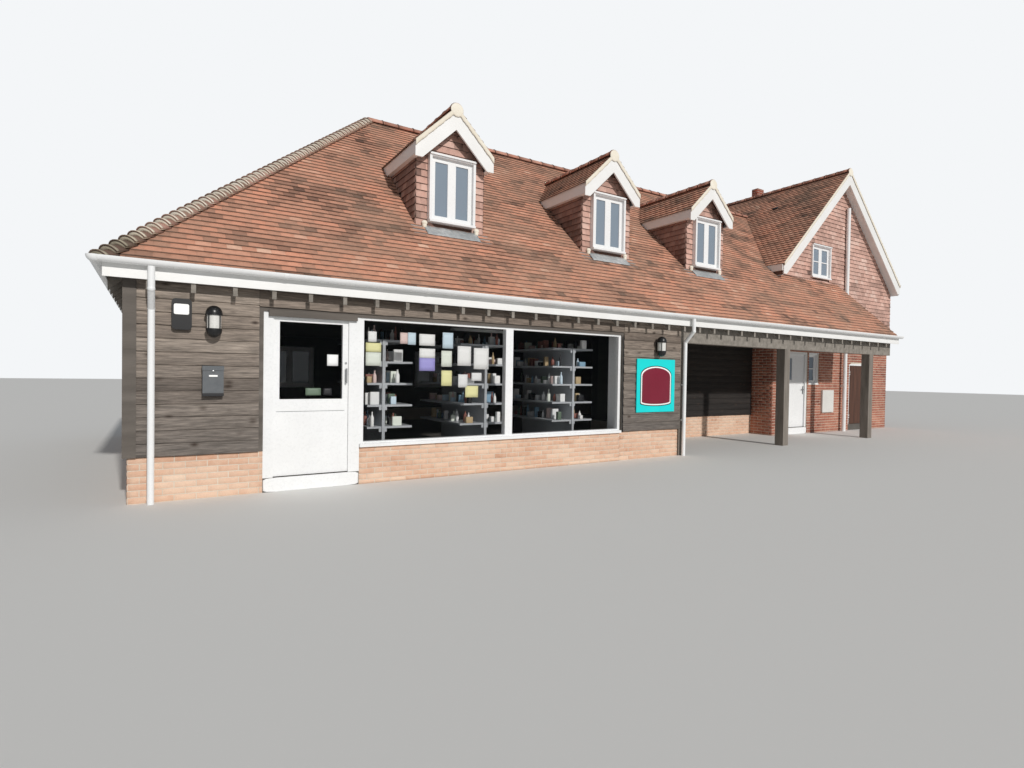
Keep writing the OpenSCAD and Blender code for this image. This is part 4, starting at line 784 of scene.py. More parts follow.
cosine, sine = math.cos(MAIN_PITCH), math.sin(MAIN_PITCH)
FRONT_SLOPE = Face((0, -EAVES_OUT, EAVES_LEVEL), RIGHTWARD, (0, cosine, sine))
REAR_SLOPE = Face((VERGE_X, RANGE_DEPTH + EAVES_OUT, EAVES_LEVEL), LEFTWARD, (0, -cosine, sine))
HIP_SLOPE = Face((-EAVES_OUT, RANGE_DEPTH, EAVES_LEVEL), FORWARD, (cosine, 0, sine))
for side, slope, ends, limits, rule, seed in (
    ("front", FRONT_SLOPE, (-EAVES_OUT, VERGE_X), front_limits, front_keep, 11),
    ("rear", REAR_SLOPE, (0, VERGE_X + EAVES_OUT), rear_limits, rear_keep, 12),
    ("hip", HIP_SLOPE, (-EAVES_OUT, RANGE_DEPTH + EAVES_OUT), hip_limits, None, 13),
):
    lay_field(
        f"{side}_slope_tiles", slope, ROOF_TILE, (ends, (EAVES_LIP, SLOPE_LENGTH)), ROOF_CLAY, "roof_tiles",
        limits, keep_rule=rule, seed=seed,
    )

# %% [markdown]
# The wing's roof is a plain gable, steeper by a fraction of a degree, whose lower left part dies
# into the long roof along a valley. The dormers' little roofs are the same thing at a smaller
# size, so one function gives both slopes of any of them.

# %% Tiles of the wing and the dormers
WING_LOW = WING_FRONT - BARGE_OUT - BARGE_THICK - VERGE_OUT
WING_HIGH = RANGE_DEPTH + BARGE_OUT + BARGE_THICK + VERGE_OUT
WING_SLOPE = WING_FOOT / math.cos(WING_PITCH)
WING_EAVES_LEVEL = WING_RIDGE - WING_FOOT * math.tan(WING_PITCH)
CHIMNEY_HOLE = (17.50, 17.83, 4.38, 4.595)


def gable_slopes(centre, foot, low_y, high_y, level, pitch):
    """Both slopes of a gabled roof: the left one runs to the front, the right one to the rear."""
    slant, rise = math.cos(pitch), math.sin(pitch)
    return (
        Face((centre - foot, high_y, level), FORWARD, (slant, 0, rise)),
        Face((centre + foot, low_y, level), REARWARD, (-slant, 0, rise)),
    )


def wing_left_keep(across, upward):
    """across runs towards the front, so y is measured back from the rear gable."""
    y = WING_HIGH - across
    level = WING_EAVES_LEVEL + upward * math.sin(WING_PITCH)
    return (level > range_height(y) - 0.03) | (y < WING_FRONT) | (y > RANGE_DEPTH + EAVES_OUT)


def wing_right_keep(across, upward):
    """Leaves out the tiles under the chimney."""
    y = WING_LOW + across
    x = WING_CENTRE + WING_FOOT - upward * math.cos(WING_PITCH)
    left, right, front, back = CHIMNEY_HOLE
    return ~((x > left) & (x < right) & (y > front) & (y < back))


WING_LEFT, WING_RIGHT = gable_slopes(
    WING_CENTRE, WING_FOOT, WING_LOW, WING_HIGH, WING_EAVES_LEVEL, WING_PITCH,
)
for side, slope, rule, seed in (
    ("left", WING_LEFT, wing_left_keep, 21), ("right", WING_RIGHT, wing_right_keep, 22),
):
    lay_field(
        f"wing_{side}_tiles", slope, ROOF_TILE, ((0, WING_HIGH - WING_LOW), (EAVES_LIP, WING_SLOPE)),
        ROOF_CLAY, "roof_tiles", keep_rule=rule, seed=seed,
    )

DORMER_FOOT = DORMER_HALF + DORMER_EAVES
DORMER_SLOPE = DORMER_FOOT / math.cos(DORMER_PITCH)
DORMER_EAVES_LEVEL = DORMER_RIDGE - DORMER_FOOT * math.tan(DORMER_PITCH)
DORMER_LOW = DORMER_FRONT - DORMER_OUT - BARGE_THICK - VERGE_OUT


def dormer_keep(side):
    """Tiles of a dormer's slope stay while they lie over the long roof."""
    def rule(across, upward):
        y = DORMER_LOW + across if side == "right" else DORMER_BACK - across
        return DORMER_EAVES_LEVEL + upward * math.sin(DORMER_PITCH) > range_height(y) - 0.03
    return rule


for number, centre in enumerate(DORMERS):
    slopes = gable_slopes(centre, DORMER_FOOT, DORMER_LOW, DORMER_BACK, DORMER_EAVES_LEVEL, DORMER_PITCH)
    for turn, (side, slope) in enumerate(zip(("left", "right"), slopes)):
        lay_field(
            f"dormer_{number + 1}_{side}_tiles", slope, ROOF_TILE,
            ((0, DORMER_BACK - DORMER_LOW), (EAVES_LIP + 0.01, DORMER_SLOPE)), ROOF_CLAY, "roof_tiles",
            keep_rule=dormer_keep(side), seed=31 + 2 * number + turn,
        )

# %% [markdown]
# Hung tiles cover the wing's gables and its right side above the first floor, and the dormers'
# fronts and cheeks. They are the roof's own tiles nailed to battens on the wall; on the cheeks
# they take a darker clay, which is painted shade on the dormers' sides.

# %% Hung tiles
GABLE_WINDOW = (WING_CENTRE - 1.49, 0.95, 4.369, 5.304)


def gable_limits(height_up):
    """Inside ends of the gable under its roof: centre -+ (ridge - roof depth - z) / tan(pitch)."""
    z = height_up + HANGING_LEVEL
    half = np.clip(WING_RIDGE - WING_ROOF_DEPTH - z, 0, None) / math.tan(WING_PITCH)
    half = np.minimum(half, WING_WIDTH / 2 + HANGING_DEPTH)
    middle = WING_WIDTH / 2 + HANGING_DEPTH
    return middle - half, middle + half


def front_gable_limits(height_up):
    """The porch roof covers the gable's lower left part as far as its verge."""
    z = height_up + HANGING_LEVEL
    left, right = gable_limits(height_up)
    covered = range_height(np.array(WING_FRONT - HANGING_DEPTH))
    verge = VERGE_X - (WING_START - HANGING_DEPTH)
    return np.where(z < covered - 0.05, verge, left), right


hang_left, hang_right = WING_START - HANGING_DEPTH, WING_END + HANGING_DEPTH
hang_front, hang_back = WING_FRONT - HANGING_DEPTH, RANGE_DEPTH + HANGING_DEPTH
gable_height = WING_RIDGE - WING_ROOF_DEPTH - HANGING_LEVEL
side_height = gable_height - WING_WIDTH / 2 * math.tan(WING_PITCH) - HANGING_DEPTH


def gable_hole(start):
    """The gable window as a hole that starts so far along its face."""
    left, wide, sill, head = GABLE_WINDOW
    return [(start, start + wide, sill - HANGING_LEVEL, head - HANGING_LEVEL)]


def hang_tiles(name, corner, along, length, low, high, material=HUNG_CLAY, **rules):
    """Hung tiles on an upright face from a lower corner."""
    extent = ((0, length), (low, high))
    lay_field(name, Face(corner, along, UPWARD), HUNG_TILE, extent, material, "hung_tiles", **rules)


hang_tiles(
    "front_gable_tiles", (hang_left, hang_front, HANGING_LEVEL), RIGHTWARD, hang_right - hang_left, -0.03,
    gable_height, limits=front_gable_limits, holes=gable_hole(GABLE_WINDOW[0] - hang_left), seed=41,
)
hang_tiles(
    "rear_gable_tiles", (hang_right, hang_back, HANGING_LEVEL), LEFTWARD, hang_right - hang_left, -0.03,
    gable_height, limits=gable_limits, holes=gable_hole(hang_right - (WING_CENTRE + 0.475)), seed=42,
)
hang_tiles(
    "wing_side_tiles", (hang_right, hang_front, HANGING_LEVEL), REARWARD, hang_back - hang_front, -0.03,
    side_height, seed=43,
)
DORMER_BASE = float(range_height(np.array(DORMER_FRONT)))
DORMER_PLATE = DORMER_RIDGE - DORMER_ROOF_DEPTH - DORMER_HALF * math.tan(DORMER_PITCH)


def dormer_front_limits(height_up):
    """The dormer's front is straight up to its plate and then narrows under its roof."""
    z = height_up + DORMER_BASE
    half = np.clip((DORMER_RIDGE - DORMER_ROOF_DEPTH - z) / math.tan(DORMER_PITCH), 0, DORMER_HALF)
    return DORMER_HALF - half, DORMER_HALF + half


def cheek_keep(side):
    """A cheek's tiles stay over the long roof's slope."""
    def rule(across, upward):
        y = DORMER_BACK - across if side == "left" else DORMER_FRONT + across
        return upward + DORMER_BASE + 0.04 > range_height(y)
    return rule


for number, centre in enumerate(DORMERS):
    left, right = DORMER_HALF - DORMER_WINDOW / 2, DORMER_HALF + DORMER_WINDOW / 2
    hang_tiles(
        f"dormer_{number + 1}_front_tiles", (centre - DORMER_HALF, DORMER_FRONT, DORMER_BASE), RIGHTWARD,
        2 * DORMER_HALF, 0.0, DORMER_RIDGE - DORMER_ROOF_DEPTH - DORMER_BASE, limits=dormer_front_limits,
        holes=[(left, right, DORMER_SILL - DORMER_BASE - 0.02, DORMER_HEAD - DORMER_BASE)], seed=51 + number,
    )
    for side, x, y, along in (
        ("left", centre - DORMER_HALF, DORMER_BACK, FORWARD),
        ("right", centre + DORMER_HALF, DORMER_FRONT, REARWARD),
    ):
        hang_tiles(
            f"dormer_{number + 1}_{side}_cheek_tiles", (x, y, DORMER_BASE), along, DORMER_BACK - DORMER_FRONT,
            0.0, DORMER_PLATE - DORMER_BASE, PAINTED_SHADE_CHEEK_CLAY, keep_rule=cheek_keep(side),
            seed=61 + 2 * number + (side == "left"),
        )

# %% [markdown]
# Brickwork is 215 by 65 mm stretchers with 10 mm joints. Each brick is a shallow tray turned over:
# a front face and four sloping edges, standing 6 mm proud of the mortar. Flat brick textures
# would be cheaper, but low sun and a close camera show the joints.

# %% Bricks
BRICK_LONG, BRICK_COURSE, BRICK_JOINT = 0.225, 0.075, 0.010
BRICK_PROUD, BRICK_BEVEL = 0.006, 0.005
FIRST_COURSE = -0.055


def brick_unit():
    """Outer corners at the mortar, inner corners one bevel in and proud of it."""
    half, top = (BRICK_LONG - BRICK_JOINT) / 2, BRICK_JOINT / 2 + BRICK_COURSE - BRICK_JOINT
    points = [
        [x * (half - inward), low, out] for inward, out in ((0, 0), (BRICK_BEVEL, BRICK_PROUD))
        for x, low in ((-1, 0.005 + inward), (1, 0.005 + inward), (1, top - inward), (-1, top - inward))
    ]
    quads = [[4, 5, 6, 7], [0, 1, 5, 4], [1, 2, 6, 5], [2, 3, 7, 6], [3, 0, 4, 7]]
    return np.array(points), np.array(quads)


BRICK_UNIT = (*brick_unit(), (BRICK_LONG, BRICK_COURSE), (0.0012, 0.0006, 0.0007), 1.0)


def lay_bricks(name, corner, along, length, top, seed, material=BRICK, start=0.0, holes=()):
    """A wall of bricks from a lower corner; courses start so that one ends at the door heads, and
    none reaches below the ground."""
    lay_field(
        name, Face(corner, along, UPWARD), BRICK_UNIT, ((0, length), (start, top)), material, "red_brick",
        holes=holes, seed=seed, base=max(0.002, 0.002 - corner[2]),
    )


inset, near, far = PLINTH_INSET, SHOP_LENGTH - PLINTH_INSET, RANGE_DEPTH - PLINTH_INSET
sill_base = 7 * BRICK_COURSE
for seed, (part, corner, along, length, top) in enumerate((
    ("door", (inset, inset, 0), RIGHTWARD, FRAME_LEFT - inset, PLINTH_TOP),
    ("window", (FRAME_JOINT, inset, SHOP_SILL - sill_base), RIGHTWARD, FRAME_RIGHT - FRAME_JOINT, sill_base),
    ("sign", (FRAME_RIGHT, inset, 0), RIGHTWARD, near - FRAME_RIGHT, PLINTH_TOP),
    ("left", (inset, far, 0), FORWARD, RANGE_DEPTH - 2 * inset, PLINTH_TOP),
    ("rear", (WING_START, far, 0), LEFTWARD, WING_START - inset, PLINTH_TOP),
    ("return", (near, inset, 0), REARWARD, PORCH_DEPTH, PLINTH_TOP),
    ("porch", (near, PORCH_DEPTH + inset, 0), RIGHTWARD, WING_START - SHOP_LENGTH + inset, PLINTH_TOP),
), 71):
    lay_bricks(f"plinth_bricks_{part}", corner, along, length, top, seed)
HOUSE_HOLES = [(0.68, 1.604, -0.1, 2.27), (1.66, 2.16, 1.37, 2.27), (3.8, 4.684, -0.1, 2.01)]
WINDOW_SILL, WINDOW_HEAD, WINDOW_WIDE = 1.1, 2.15, 1.2
middle = WING_END - WING_CENTRE
for seed, (part, corner, along, length, top, holes) in enumerate((
    ("front", (WING_START, WING_FRONT, 0), RIGHTWARD, WING_WIDTH, HANGING_LEVEL, HOUSE_HOLES),
    ("porch", (WING_START, PORCH_DEPTH, 0), FORWARD, PORCH_DEPTH - WING_FRONT, CEILING, []),
    ("right", (WING_END, WING_FRONT, 0), REARWARD, RANGE_DEPTH - WING_FRONT, HANGING_LEVEL,
     [(2.7, 3.9, WINDOW_SILL, WINDOW_HEAD)]),
    ("rear", (WING_END, RANGE_DEPTH, 0), LEFTWARD, WING_WIDTH, HANGING_LEVEL,
     [(middle - 0.6, middle + 0.6, WINDOW_SILL, WINDOW_HEAD)]),
), 78):
    lay_bricks(f"wing_bricks_{part}", corner, along, length, top, seed, WING_BRICK, FIRST_COURSE, holes)
left, right, front, back = CHIMNEY_HOLE
CHIMNEY_FOOT, SHAFT_HEIGHT = 6.95, 1.0
for side, x, y, along, length in (
    ("front", left, front, RIGHTWARD, right - left), ("right", right, front, REARWARD, back - front),
    ("back", right, back, LEFTWARD, right - left), ("left", left, back, FORWARD, back - front),
):
    lay_bricks(
        f"chimney_bricks_{side}", (x, y, CHIMNEY_FOOT), along, length, SHAFT_HEIGHT, 82 + len(side),
        RED_BRICK,
    )

# %% [markdown]
# The range is clad in rough sawn boards, each lapped over the next. A board is a long curved
# strip: thick and slightly ragged at its lower edge, thin at the top where the next one covers
# it. Walls are filled board by board, with butt joints at random lengths, and cut at windows.

# %% Weatherboards
BOARD_GAUGE = 0.150
BOARD_STEP = 0.15


def board_strip(face, start, end, low, top, random, proud=0.024):
    """One board as a grid: along it in steps, across it a lip, a nose, two face points and the
    covered edge. The nose height waves by a sum of three sines with random phases."""
    count = max(2, int((end - start) / BOARD_STEP) + 1)
    along = np.linspace(start + 0.0015, end - 0.0015, count)
    phase = random.uniform(0, 6.28, 6)
    wave = 0.0025 * np.sin(along * 3.1 + phase[0]) + 0.0015 * np.sin(along * 9.7 + phase[1])
    wave += 0.0008 * np.sin(along * 23 + phase[2])
    cup = 0.0015 * np.sin(along * 2.3 + phase[3])
    height = np.stack([
        low + wave + 0.004, low + wave, low + wave + 0.004,
        np.full(count, low + BOARD_GAUGE * 0.5), np.full(count, low + BOARD_GAUGE + 0.01),
    ])
    height = np.minimum(height, top)
    depth = np.stack([
        np.full(count, 0.001), np.full(count, proud - 0.003), proud + cup,
        np.full(count, proud * 0.72) + cup, np.full(count, 0.006),
    ])
    points = face.place(np.broadcast_to(along, height.shape), height, depth).reshape(-1, 3)
    row, column = np.meshgrid(np.arange(4), np.arange(count - 1), indexing="ij")
    corner = (row * count + column).ravel()
    quads = np.stack([corner, corner + 1, corner + count + 1, corner + count], axis=1)
    return points, quads


def lay_boards(name, corner, along, length, low, top, seed, material=BOARDS, holes=()):
    """Rows of boards from low to top, split at holes and at random butt joints."""
    random = np.random.default_rng(seed)
    face = Face(corner, along, UPWARD)
    all_points, all_quads, all_tones, total = [], [], [], 0
    for row in range(math.ceil((top - low) / BOARD_GAUGE - 0.05)):
        bottom = low + row * BOARD_GAUGE
        spans = [(0.0, length)]
        for left, right, sill, head in holes:
            if sill < bottom + BOARD_GAUGE / 2 < head:
                spans = [
                    part for first, last in spans
                    for part in ((first, min(last, left)), (max(first, right), last))
                    if part[1] - part[0] > 0.02
                ]
        for first, last in spans:
            cuts = [first]
            while last - cuts[-1] > 5.0:
                cuts.append(cuts[-1] + random.uniform(2.2, 4.4))
            cuts.append(last)
            for start, end in zip(cuts[:-1], cuts[1:]):
                points, quads = board_strip(face, start, end, bottom, top, random)
                all_points.append(points)
                all_quads.append(quads + total)
                all_tones.append(np.full(len(points), random.beta(2, 2)))
                total += len(points)
    make_piece(
        name, np.concatenate(all_points), np.concatenate(all_quads), material,
        values={"tone": np.concatenate(all_tones)},
    )


WALL_TOP = EAVES_LEVEL + EAVES_OUT * math.tan(MAIN_PITCH) - RAFTER_DROP
header_left, header_long = FRAME_LEFT - SURROUND, FRAME_RIGHT - FRAME_LEFT + 2 * SURROUND
rear_holes = [
    (WING_START - x - WINDOW_WIDE, WING_START - x, WINDOW_SILL, WINDOW_HEAD) for x in (2.6, 6.6, 10.6)
]
for seed, (part, corner, along, length, low, top, *rest) in enumerate((
    ("door", (0, 0, 0), RIGHTWARD, header_left, PLINTH_TOP, WALL_TOP),
    ("header", (header_left, 0, 0), RIGHTWARD, header_long, FRAME_TOP + SURROUND, WALL_TOP),
    ("sign", (FRAME_RIGHT + SURROUND, 0, 0), RIGHTWARD, SHOP_LENGTH - FRAME_RIGHT - SURROUND, PLINTH_TOP, WALL_TOP),
    ("left", (0, RANGE_DEPTH, 0), FORWARD, RANGE_DEPTH, PLINTH_TOP, WALL_TOP),
    ("rear", (WING_START, RANGE_DEPTH, 0), LEFTWARD, WING_START, PLINTH_TOP, WALL_TOP, BOARDS, rear_holes),
    ("return", (SHOP_LENGTH, 0, 0), REARWARD, PORCH_DEPTH, PLINTH_TOP, CEILING, PAINTED_SHADE_PORCH_BOARDS),
    ("porch", (SHOP_LENGTH, PORCH_DEPTH, 0), RIGHTWARD, WING_START - SHOP_LENGTH, PLINTH_TOP, CEILING, PAINTED_SHADE_PORCH_BOARDS),
), 91):
    lay_boards(f"boards_{part}", corner, along, length, low, top, seed, *rest)

# %% [markdown]
# Ridge tiles are half-round clay shells bedded end to end, each a little wider at one end. Hip
# tiles are bonnets: short flared shells, one to a course, stepped up the hip on a bed of mortar.
# Both are the same surface, an arc carried along a line, and differ in length and flare.

# %% Ridge and hip tiles
def arc_shells(
    start, end, count, radius, flare, spread, lift, thick=0.014, reach=None, set_back=0.0, sides=10,
):
    """count shells from start to end. A point is centre + r * (cos a * side + sin a * up), with r
    growing by flare towards the lower end and the centre raised by lift there. reach is each
    shell's own length, set_back its distance from the start of its step."""
    start, end = np.array(start, float), np.array(end, float)
    line = (end - start) / np.linalg.norm(end - start)
    side = np.cross(line, [0, 0, 1.0])
    side /= np.linalg.norm(side)
    top = np.cross(side, line)
    step = np.linalg.norm(end - start) / count
    reach = step if reach is None else reach
    angle = np.linspace(math.pi / 2 - spread, math.pi / 2 + spread, sides)
    fall = 1 - np.array([0, 0, reach, reach]) / step
    big = radius + flare * fall
    ring_place = set_back + np.array([0, 0, reach, reach])
    ring_radius = big - thick * np.array([1, 0, 0, 1])
    shell = ring_radius[:, None, None] * (np.cos(angle)[None, :, None] * side + np.sin(angle)[None, :, None] * top)
    shell = shell + ring_place[:, None, None] * line + (lift * fall)[:, None, None] * top
    offsets = start + np.arange(count)[:, None] * step * line
    points = shell.reshape(1, -1, 3) + offsets[:, None, :]
    row, column = np.meshgrid(np.arange(4), np.arange(sides - 1), indexing="ij")
    low, high = row * sides + column, (row + 1) % 4 * sides + column
    ends = np.arange(4) * sides
    quads = np.concatenate([
        np.stack([low, high, high + 1, low + 1], axis=-1).reshape(-1, 4),
        ends[None, ::-1], ends[None] + sides - 1,
    ])
    faces = (quads[None] + (np.arange(count) * 4 * sides)[:, None, None]).reshape(-1, 4)
    return points.reshape(-1, 3), faces


def join_parts(parts):
    """Several (points, faces) pairs as one."""
    points, faces, total = [], [], 0
    for part_points, part_faces in parts:
        points.append(part_points)
        faces.append(part_faces + total)
        total += len(part_points)
    return np.concatenate(points), np.concatenate(faces)


def lay_shells(name, runs, material, tones=None, seed=101):
    """Runs of shells as one piece; each shell of 40 points gets one tone."""
    points, faces = join_parts(runs)
    random = np.random.default_rng(seed)
    tones = random.beta(2, 2, len(points) // 40) if tones is None else tones
    return make_piece(name, points, faces, material, values={"tone": np.repeat(tones, 40)})


RIDGE_LENGTH, RIDGE_RADIUS, RIDGE_SUNK, RIDGE_SPREAD = 0.34, 0.115, 0.045, 1.45
ridge_z = RANGE_RIDGE - RIDGE_SUNK
wing_z = WING_RIDGE - RIDGE_SUNK
dormer_z = DORMER_RIDGE - RIDGE_SUNK
valley_x = WING_CENTRE - (WING_RIDGE - RANGE_RIDGE) / math.tan(WING_PITCH)
ridge_lines = [
    ((valley_x + 0.05, RIDGE_Y, ridge_z), (RIDGE_Y - 0.05, RIDGE_Y, ridge_z)),
    ((WING_CENTRE, WING_LOW, wing_z), (WING_CENTRE, WING_HIGH, wing_z)),
    *(((centre, DORMER_LOW, dormer_z), (centre, DORMER_BACK - 0.05, dormer_z)) for centre in DORMERS),
]
rows, joints = [], []
for first, last in ridge_lines:
    count = round(math.dist(first, last) / RIDGE_LENGTH)
    rows.append(arc_shells(first, last, count, RIDGE_RADIUS, 0.0, RIDGE_SPREAD, 0.0))
    joints.append(arc_shells(
        first, last, count, RIDGE_RADIUS + 0.009, 0.0, RIDGE_SPREAD, 0.0, thick=0.016, reach=0.022,
        set_back=-0.011 + 0.03,
    ))
ridge = lay_shells("ridge_tile_rows", rows, RIDGE_CLAY)
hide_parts("ridge_tiles")
lay_shells("ridge_tile_joints", joints, UNDER_CLAY, seed=103)

# %% [markdown]
# The hips' bonnets start at the eaves' corners, where they are dark with moss, and get cleaner
# over the first courses. Under each shows its bed of mortar: a thick bed and, just inside its
# lower edge, a thin paler fillet. Both beds are the same arcs at a smaller size.

# %% Hip bonnets and their beds
HIP_SUNK = 0.075
courses_up = round(SLOPE_LENGTH / TILE_GAUGE)
random = np.random.default_rng(102)
climb = np.tile(np.arange(courses_up), 2)
moss = np.clip((climb - 2.5) / 3.0, 0.0, 1.0)
bonnets, beds = [], []
for low_y in (-EAVES_OUT, RANGE_DEPTH + EAVES_OUT):
    line = (-EAVES_OUT, low_y, EAVES_LEVEL - HIP_SUNK), (RIDGE_Y, RIDGE_Y, RANGE_RIDGE - HIP_SUNK)
    for shells, radius, flare, spread, lift, thick, reach, set_back in (
        (bonnets, 0.108, 0.022, 1.22, 0.040, 0.012, 0.17, 0.0),
        (beds, 0.098, 0.020, 1.22, 0.036, 0.060, 0.11, 0.004),
        (beds, 0.1095, 0.022, 1.20, 0.040, 0.010, 0.036, 0.004),
    ):
        shells.append(arc_shells(*line, courses_up, radius, flare, spread, lift, thick, reach, set_back))
hip_tones = (0.3 + 0.7 * random.beta(2, 2, len(climb))) * (0.25 + 0.75 * moss)
bonnet_row = lay_shells("bonnet_hip_tiles", bonnets, HIP_CLAY, hip_tones)
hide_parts("hip_tiles")
bed_tones = (0.6 + 0.4 * random.random(len(climb))) * (0.1 + 0.9 * moss)
one_hip, other_hip = np.split(bed_tones, 2)
lay_shells("bonnet_hip_bedding", beds, BEDDING, np.concatenate([one_hip, one_hip, other_hip, other_hip]))

# %% [markdown]
# Small solids recur all over the building: caps, knobs, boxes, bottles. Each is a stack of rings,
# round or nearly square, closed at both ends. One unit solid is stretched to every size needed,
# as a modeller would scale a primitive, but its edges stay rounded and its mesh stays light.

# %% Stacked rings
def ring_quads(levels, sides):
    """Quads between stacked rings of points, closed by strips across the first and last ring."""
    level, turn = np.meshgrid(np.arange(levels - 1), np.arange(sides), indexing="ij")
    low, after = level * sides + turn, level * sides + (turn + 1) % sides
    wall = np.stack([low, after, after + sides, low + sides], axis=-1).reshape(-1, 4)
    step = np.arange(sides // 2 - 1)
    cap = np.stack([step, step + 1, sides - 2 - step, sides - 1 - step], axis=1)
    return np.concatenate([wall, cap[:, ::-1], cap + (levels - 1) * sides])


def turned(profile, power=2.0, sides=12):
    """A unit solid. At height h and share s a ring's point is s * |cos a| ^ (2 / power) across and
    the same of sin a up, so power 2 is round and power 8 almost square."""
    angle = (np.arange(sides) + 0.5) * 2 * math.pi / sides
    ring = np.stack([np.sign(f(angle)) * np.abs(f(angle)) ** (2 / power) for f in (np.cos, np.sin)], axis=1)
    height, share = np.array(profile, float).T
    flat = ring[None] * share[:, None, None]
    tall = np.broadcast_to(height[:, None, None], (len(height), sides, 1))
    return np.concatenate([flat, tall], axis=2).reshape(-1, 3), ring_quads(len(height), sides)


def set_solids(name, face, unit, centres, sizes, tones, material, body="building"):
    """Copies of a unit solid, each with its own size, place on a face, and tone."""
    points, quads = unit
    centres, sizes = np.array(centres, float), np.array(sizes, float)
    local = points[None] * sizes[:, None] + centres[:, None]
    placed = face.place(local[..., 0], local[..., 1], local[..., 2])
    faces = (quads[None] + (np.arange(len(centres)) * len(points))[:, None, None]).reshape(-1, 4)
    values = {"tone": np.repeat(np.broadcast_to(tones, len(centres)), len(points))}
    return make_piece(name, placed, faces, material, body, values)


BOX = turned([(0, 0.97), (0.04, 1), (0.96, 1), (1, 0.97)], power=9)
DOME = turned([(0, 1), (0.35, 0.97), (0.7, 0.8), (0.92, 0.5), (1, 0.15)], sides=16)
BOTTLE = turned([
    (0, 0.9), (0.03, 1), (0.6, 1), (0.74, 0.6), (0.8, 0.36), (0.94, 0.36), (0.95, 0.44), (1, 0.42),
])
FRONT, REAR = Face((0, 0, 0), RIGHTWARD, UPWARD), Face((0, 0, 0), LEFTWARD, UPWARD)
LEVEL = Face((0, 0, 0), RIGHTWARD, REARWARD)
print("unit solids", len(BOX[0]), len(DOME[0]), len(BOTTLE[0]))

# %% [markdown]
# Where a tiled slope ends at a gable, the tiles lie on a strip of pale mortar over the white
# boards, and the ridge's open end is filled with a rounded lump of it. The strip is a bar with
# five points across, whose lower edge waves a little, as a trowel leaves it.

# %% Verge bedding and ridge ends
def verge_bar(foot, peak, depth, y, outward, random, steps=40):
    """A bar from foot to peak in a gable's plane. It hangs down by depth, which varies by
    up to 8%, and stands out 2, 6, 6 and 2 mm at 0, 0.3, 0.7 and 1 of the way down."""
    foot, peak = np.array(foot, float), np.array(peak, float)
    share = np.linspace(0, 1, steps)[:, None]
    lower = depth * (1 + 0.05 * np.sin(share * 31 + random.uniform(0, 6)) + 0.03 * np.sin(share * 77))
    down = np.array([0.0, 0.3, 0.7, 1.0])[None] * lower
    bulge = np.array([0.002, 0.006, 0.006, 0.002])[None] + 0 * share
    x = foot[0] + (peak[0] - foot[0]) * share
    z = foot[1] + (peak[1] - foot[1]) * share
    front = np.stack([x + 0 * down, y + outward * bulge, z - down], axis=2)
    back = np.stack([x + 0 * down, y + outward * (0 * bulge - 0.004), z - down], axis=2)[:, ::-1]
    ring = np.concatenate([front, back], axis=1)
    sides = ring.shape[1]
    quads = ring_quads(steps, sides)
    flip = (peak[0] > foot[0]) == (outward < 0)
    return ring.reshape(-1, 3), quads if flip else quads[:, ::-1]


random = np.random.default_rng(111)
VERGE_DEPTH, VERGE_LIFT = 0.095, 0.018
bars, ends = [], []
for centre, half, top, level, planes in (
    *((x, DORMER_FOOT, DORMER_RIDGE, DORMER_EAVES_LEVEL, ((DORMER_LOW, -1),)) for x in DORMERS),
    (WING_CENTRE, WING_FOOT, WING_RIDGE, WING_EAVES_LEVEL, ((WING_LOW, -1), (WING_HIGH, 1))),
):
    for y, outward in planes:
        for side in (-1, 1):
            foot, peak = (centre + side * half, level + VERGE_LIFT), (centre, top + VERGE_LIFT)
            bars.append(verge_bar(foot, peak, VERGE_DEPTH, y, outward, random))
        ends.append((centre, y, top - RIDGE_SUNK, outward))
points, faces = join_parts(bars)
make_piece("verge_bedding", points, faces, BEDDING, values={"tone": np.full(len(points), 0.85)})
for name, facing, outward in (("front", FRONT, -1), ("rear", REAR, 1)):
    chosen = [(x * facing.along[0], z, y * facing.out[1]) for x, y, z, way in ends if way == outward]
    sizes = [(0.118, 0.112, 0.012)] * len(chosen)
    set_solids(f"ridge_end_bedding_{name}", facing, DOME, chosen, sizes, 0.97, BEDDING)

# %% [markdown]
# A sheet of lead is dressed over the tiles under each dormer's sill, with small lumps of pale
# mortar at both ends. On the wing's left slope sits one small dark vent tile. The sheet is a grid
# lifted over the slope by slow waves; a cloth solver could drape it, but it is stiff in truth.

# %% Aprons, their ends, and the vent
def apron_sheet(centre, half, low_y, high_y, lift, thick=0.003, across=30):
    """A sheet dressed over the tiles: rings across it run up its top and down its underside,
    lift above the slope plus 2 mm * sin waves, with its lower edge pressed down to the tiles."""
    x = np.linspace(centre - half, centre + half, across)[:, None]
    share = np.array([0.0, 0.08, 0.35, 0.7, 1.0])
    y = low_y + (high_y - low_y) * share
    wave = 0.002 * np.sin(x * 21 + share * 5) + 0.0015 * np.sin(x * 47)
    over = lift + wave + np.array([-0.006, 0.0, 0.002, 0.001, 0.0])
    both = np.concatenate([over, over[:, ::-1] - thick], axis=1)
    y = np.concatenate([y, y[::-1]])
    points = np.stack([x + 0 * both, y - both * sine, range_height(y) + both * cosine], axis=2)
    return points.reshape(-1, 3), ring_quads(across, 10)[:, ::-1]


points, faces = join_parts([apron_sheet(centre, 0.485, 0.905, 1.085, 0.028) for centre in DORMERS])
make_piece("apron_sheets", points, faces, LEAD)
lumps = [
    (centre + side, 3.975 - drop, -1.06)
    for centre in DORMERS for side in (-0.480, 0.480) for drop in (0, 0.045)
]
set_solids(
    "apron_end_bedding", FRONT, DOME, lumps, [(0.052, 0.042, 0.042), (0.040, 0.050, 0.038)] * 6, 0.95,
    BEDDING,
)
vent = (WING_HIGH - 2.964, (16.368 - WING_LEFT.corner[0]) / math.cos(WING_PITCH), 0.012)
set_solids("roof_vent", WING_LEFT, BOX, [vent], [(0.085, 0.035, 0.032)], 0.0, BLACK_METAL)

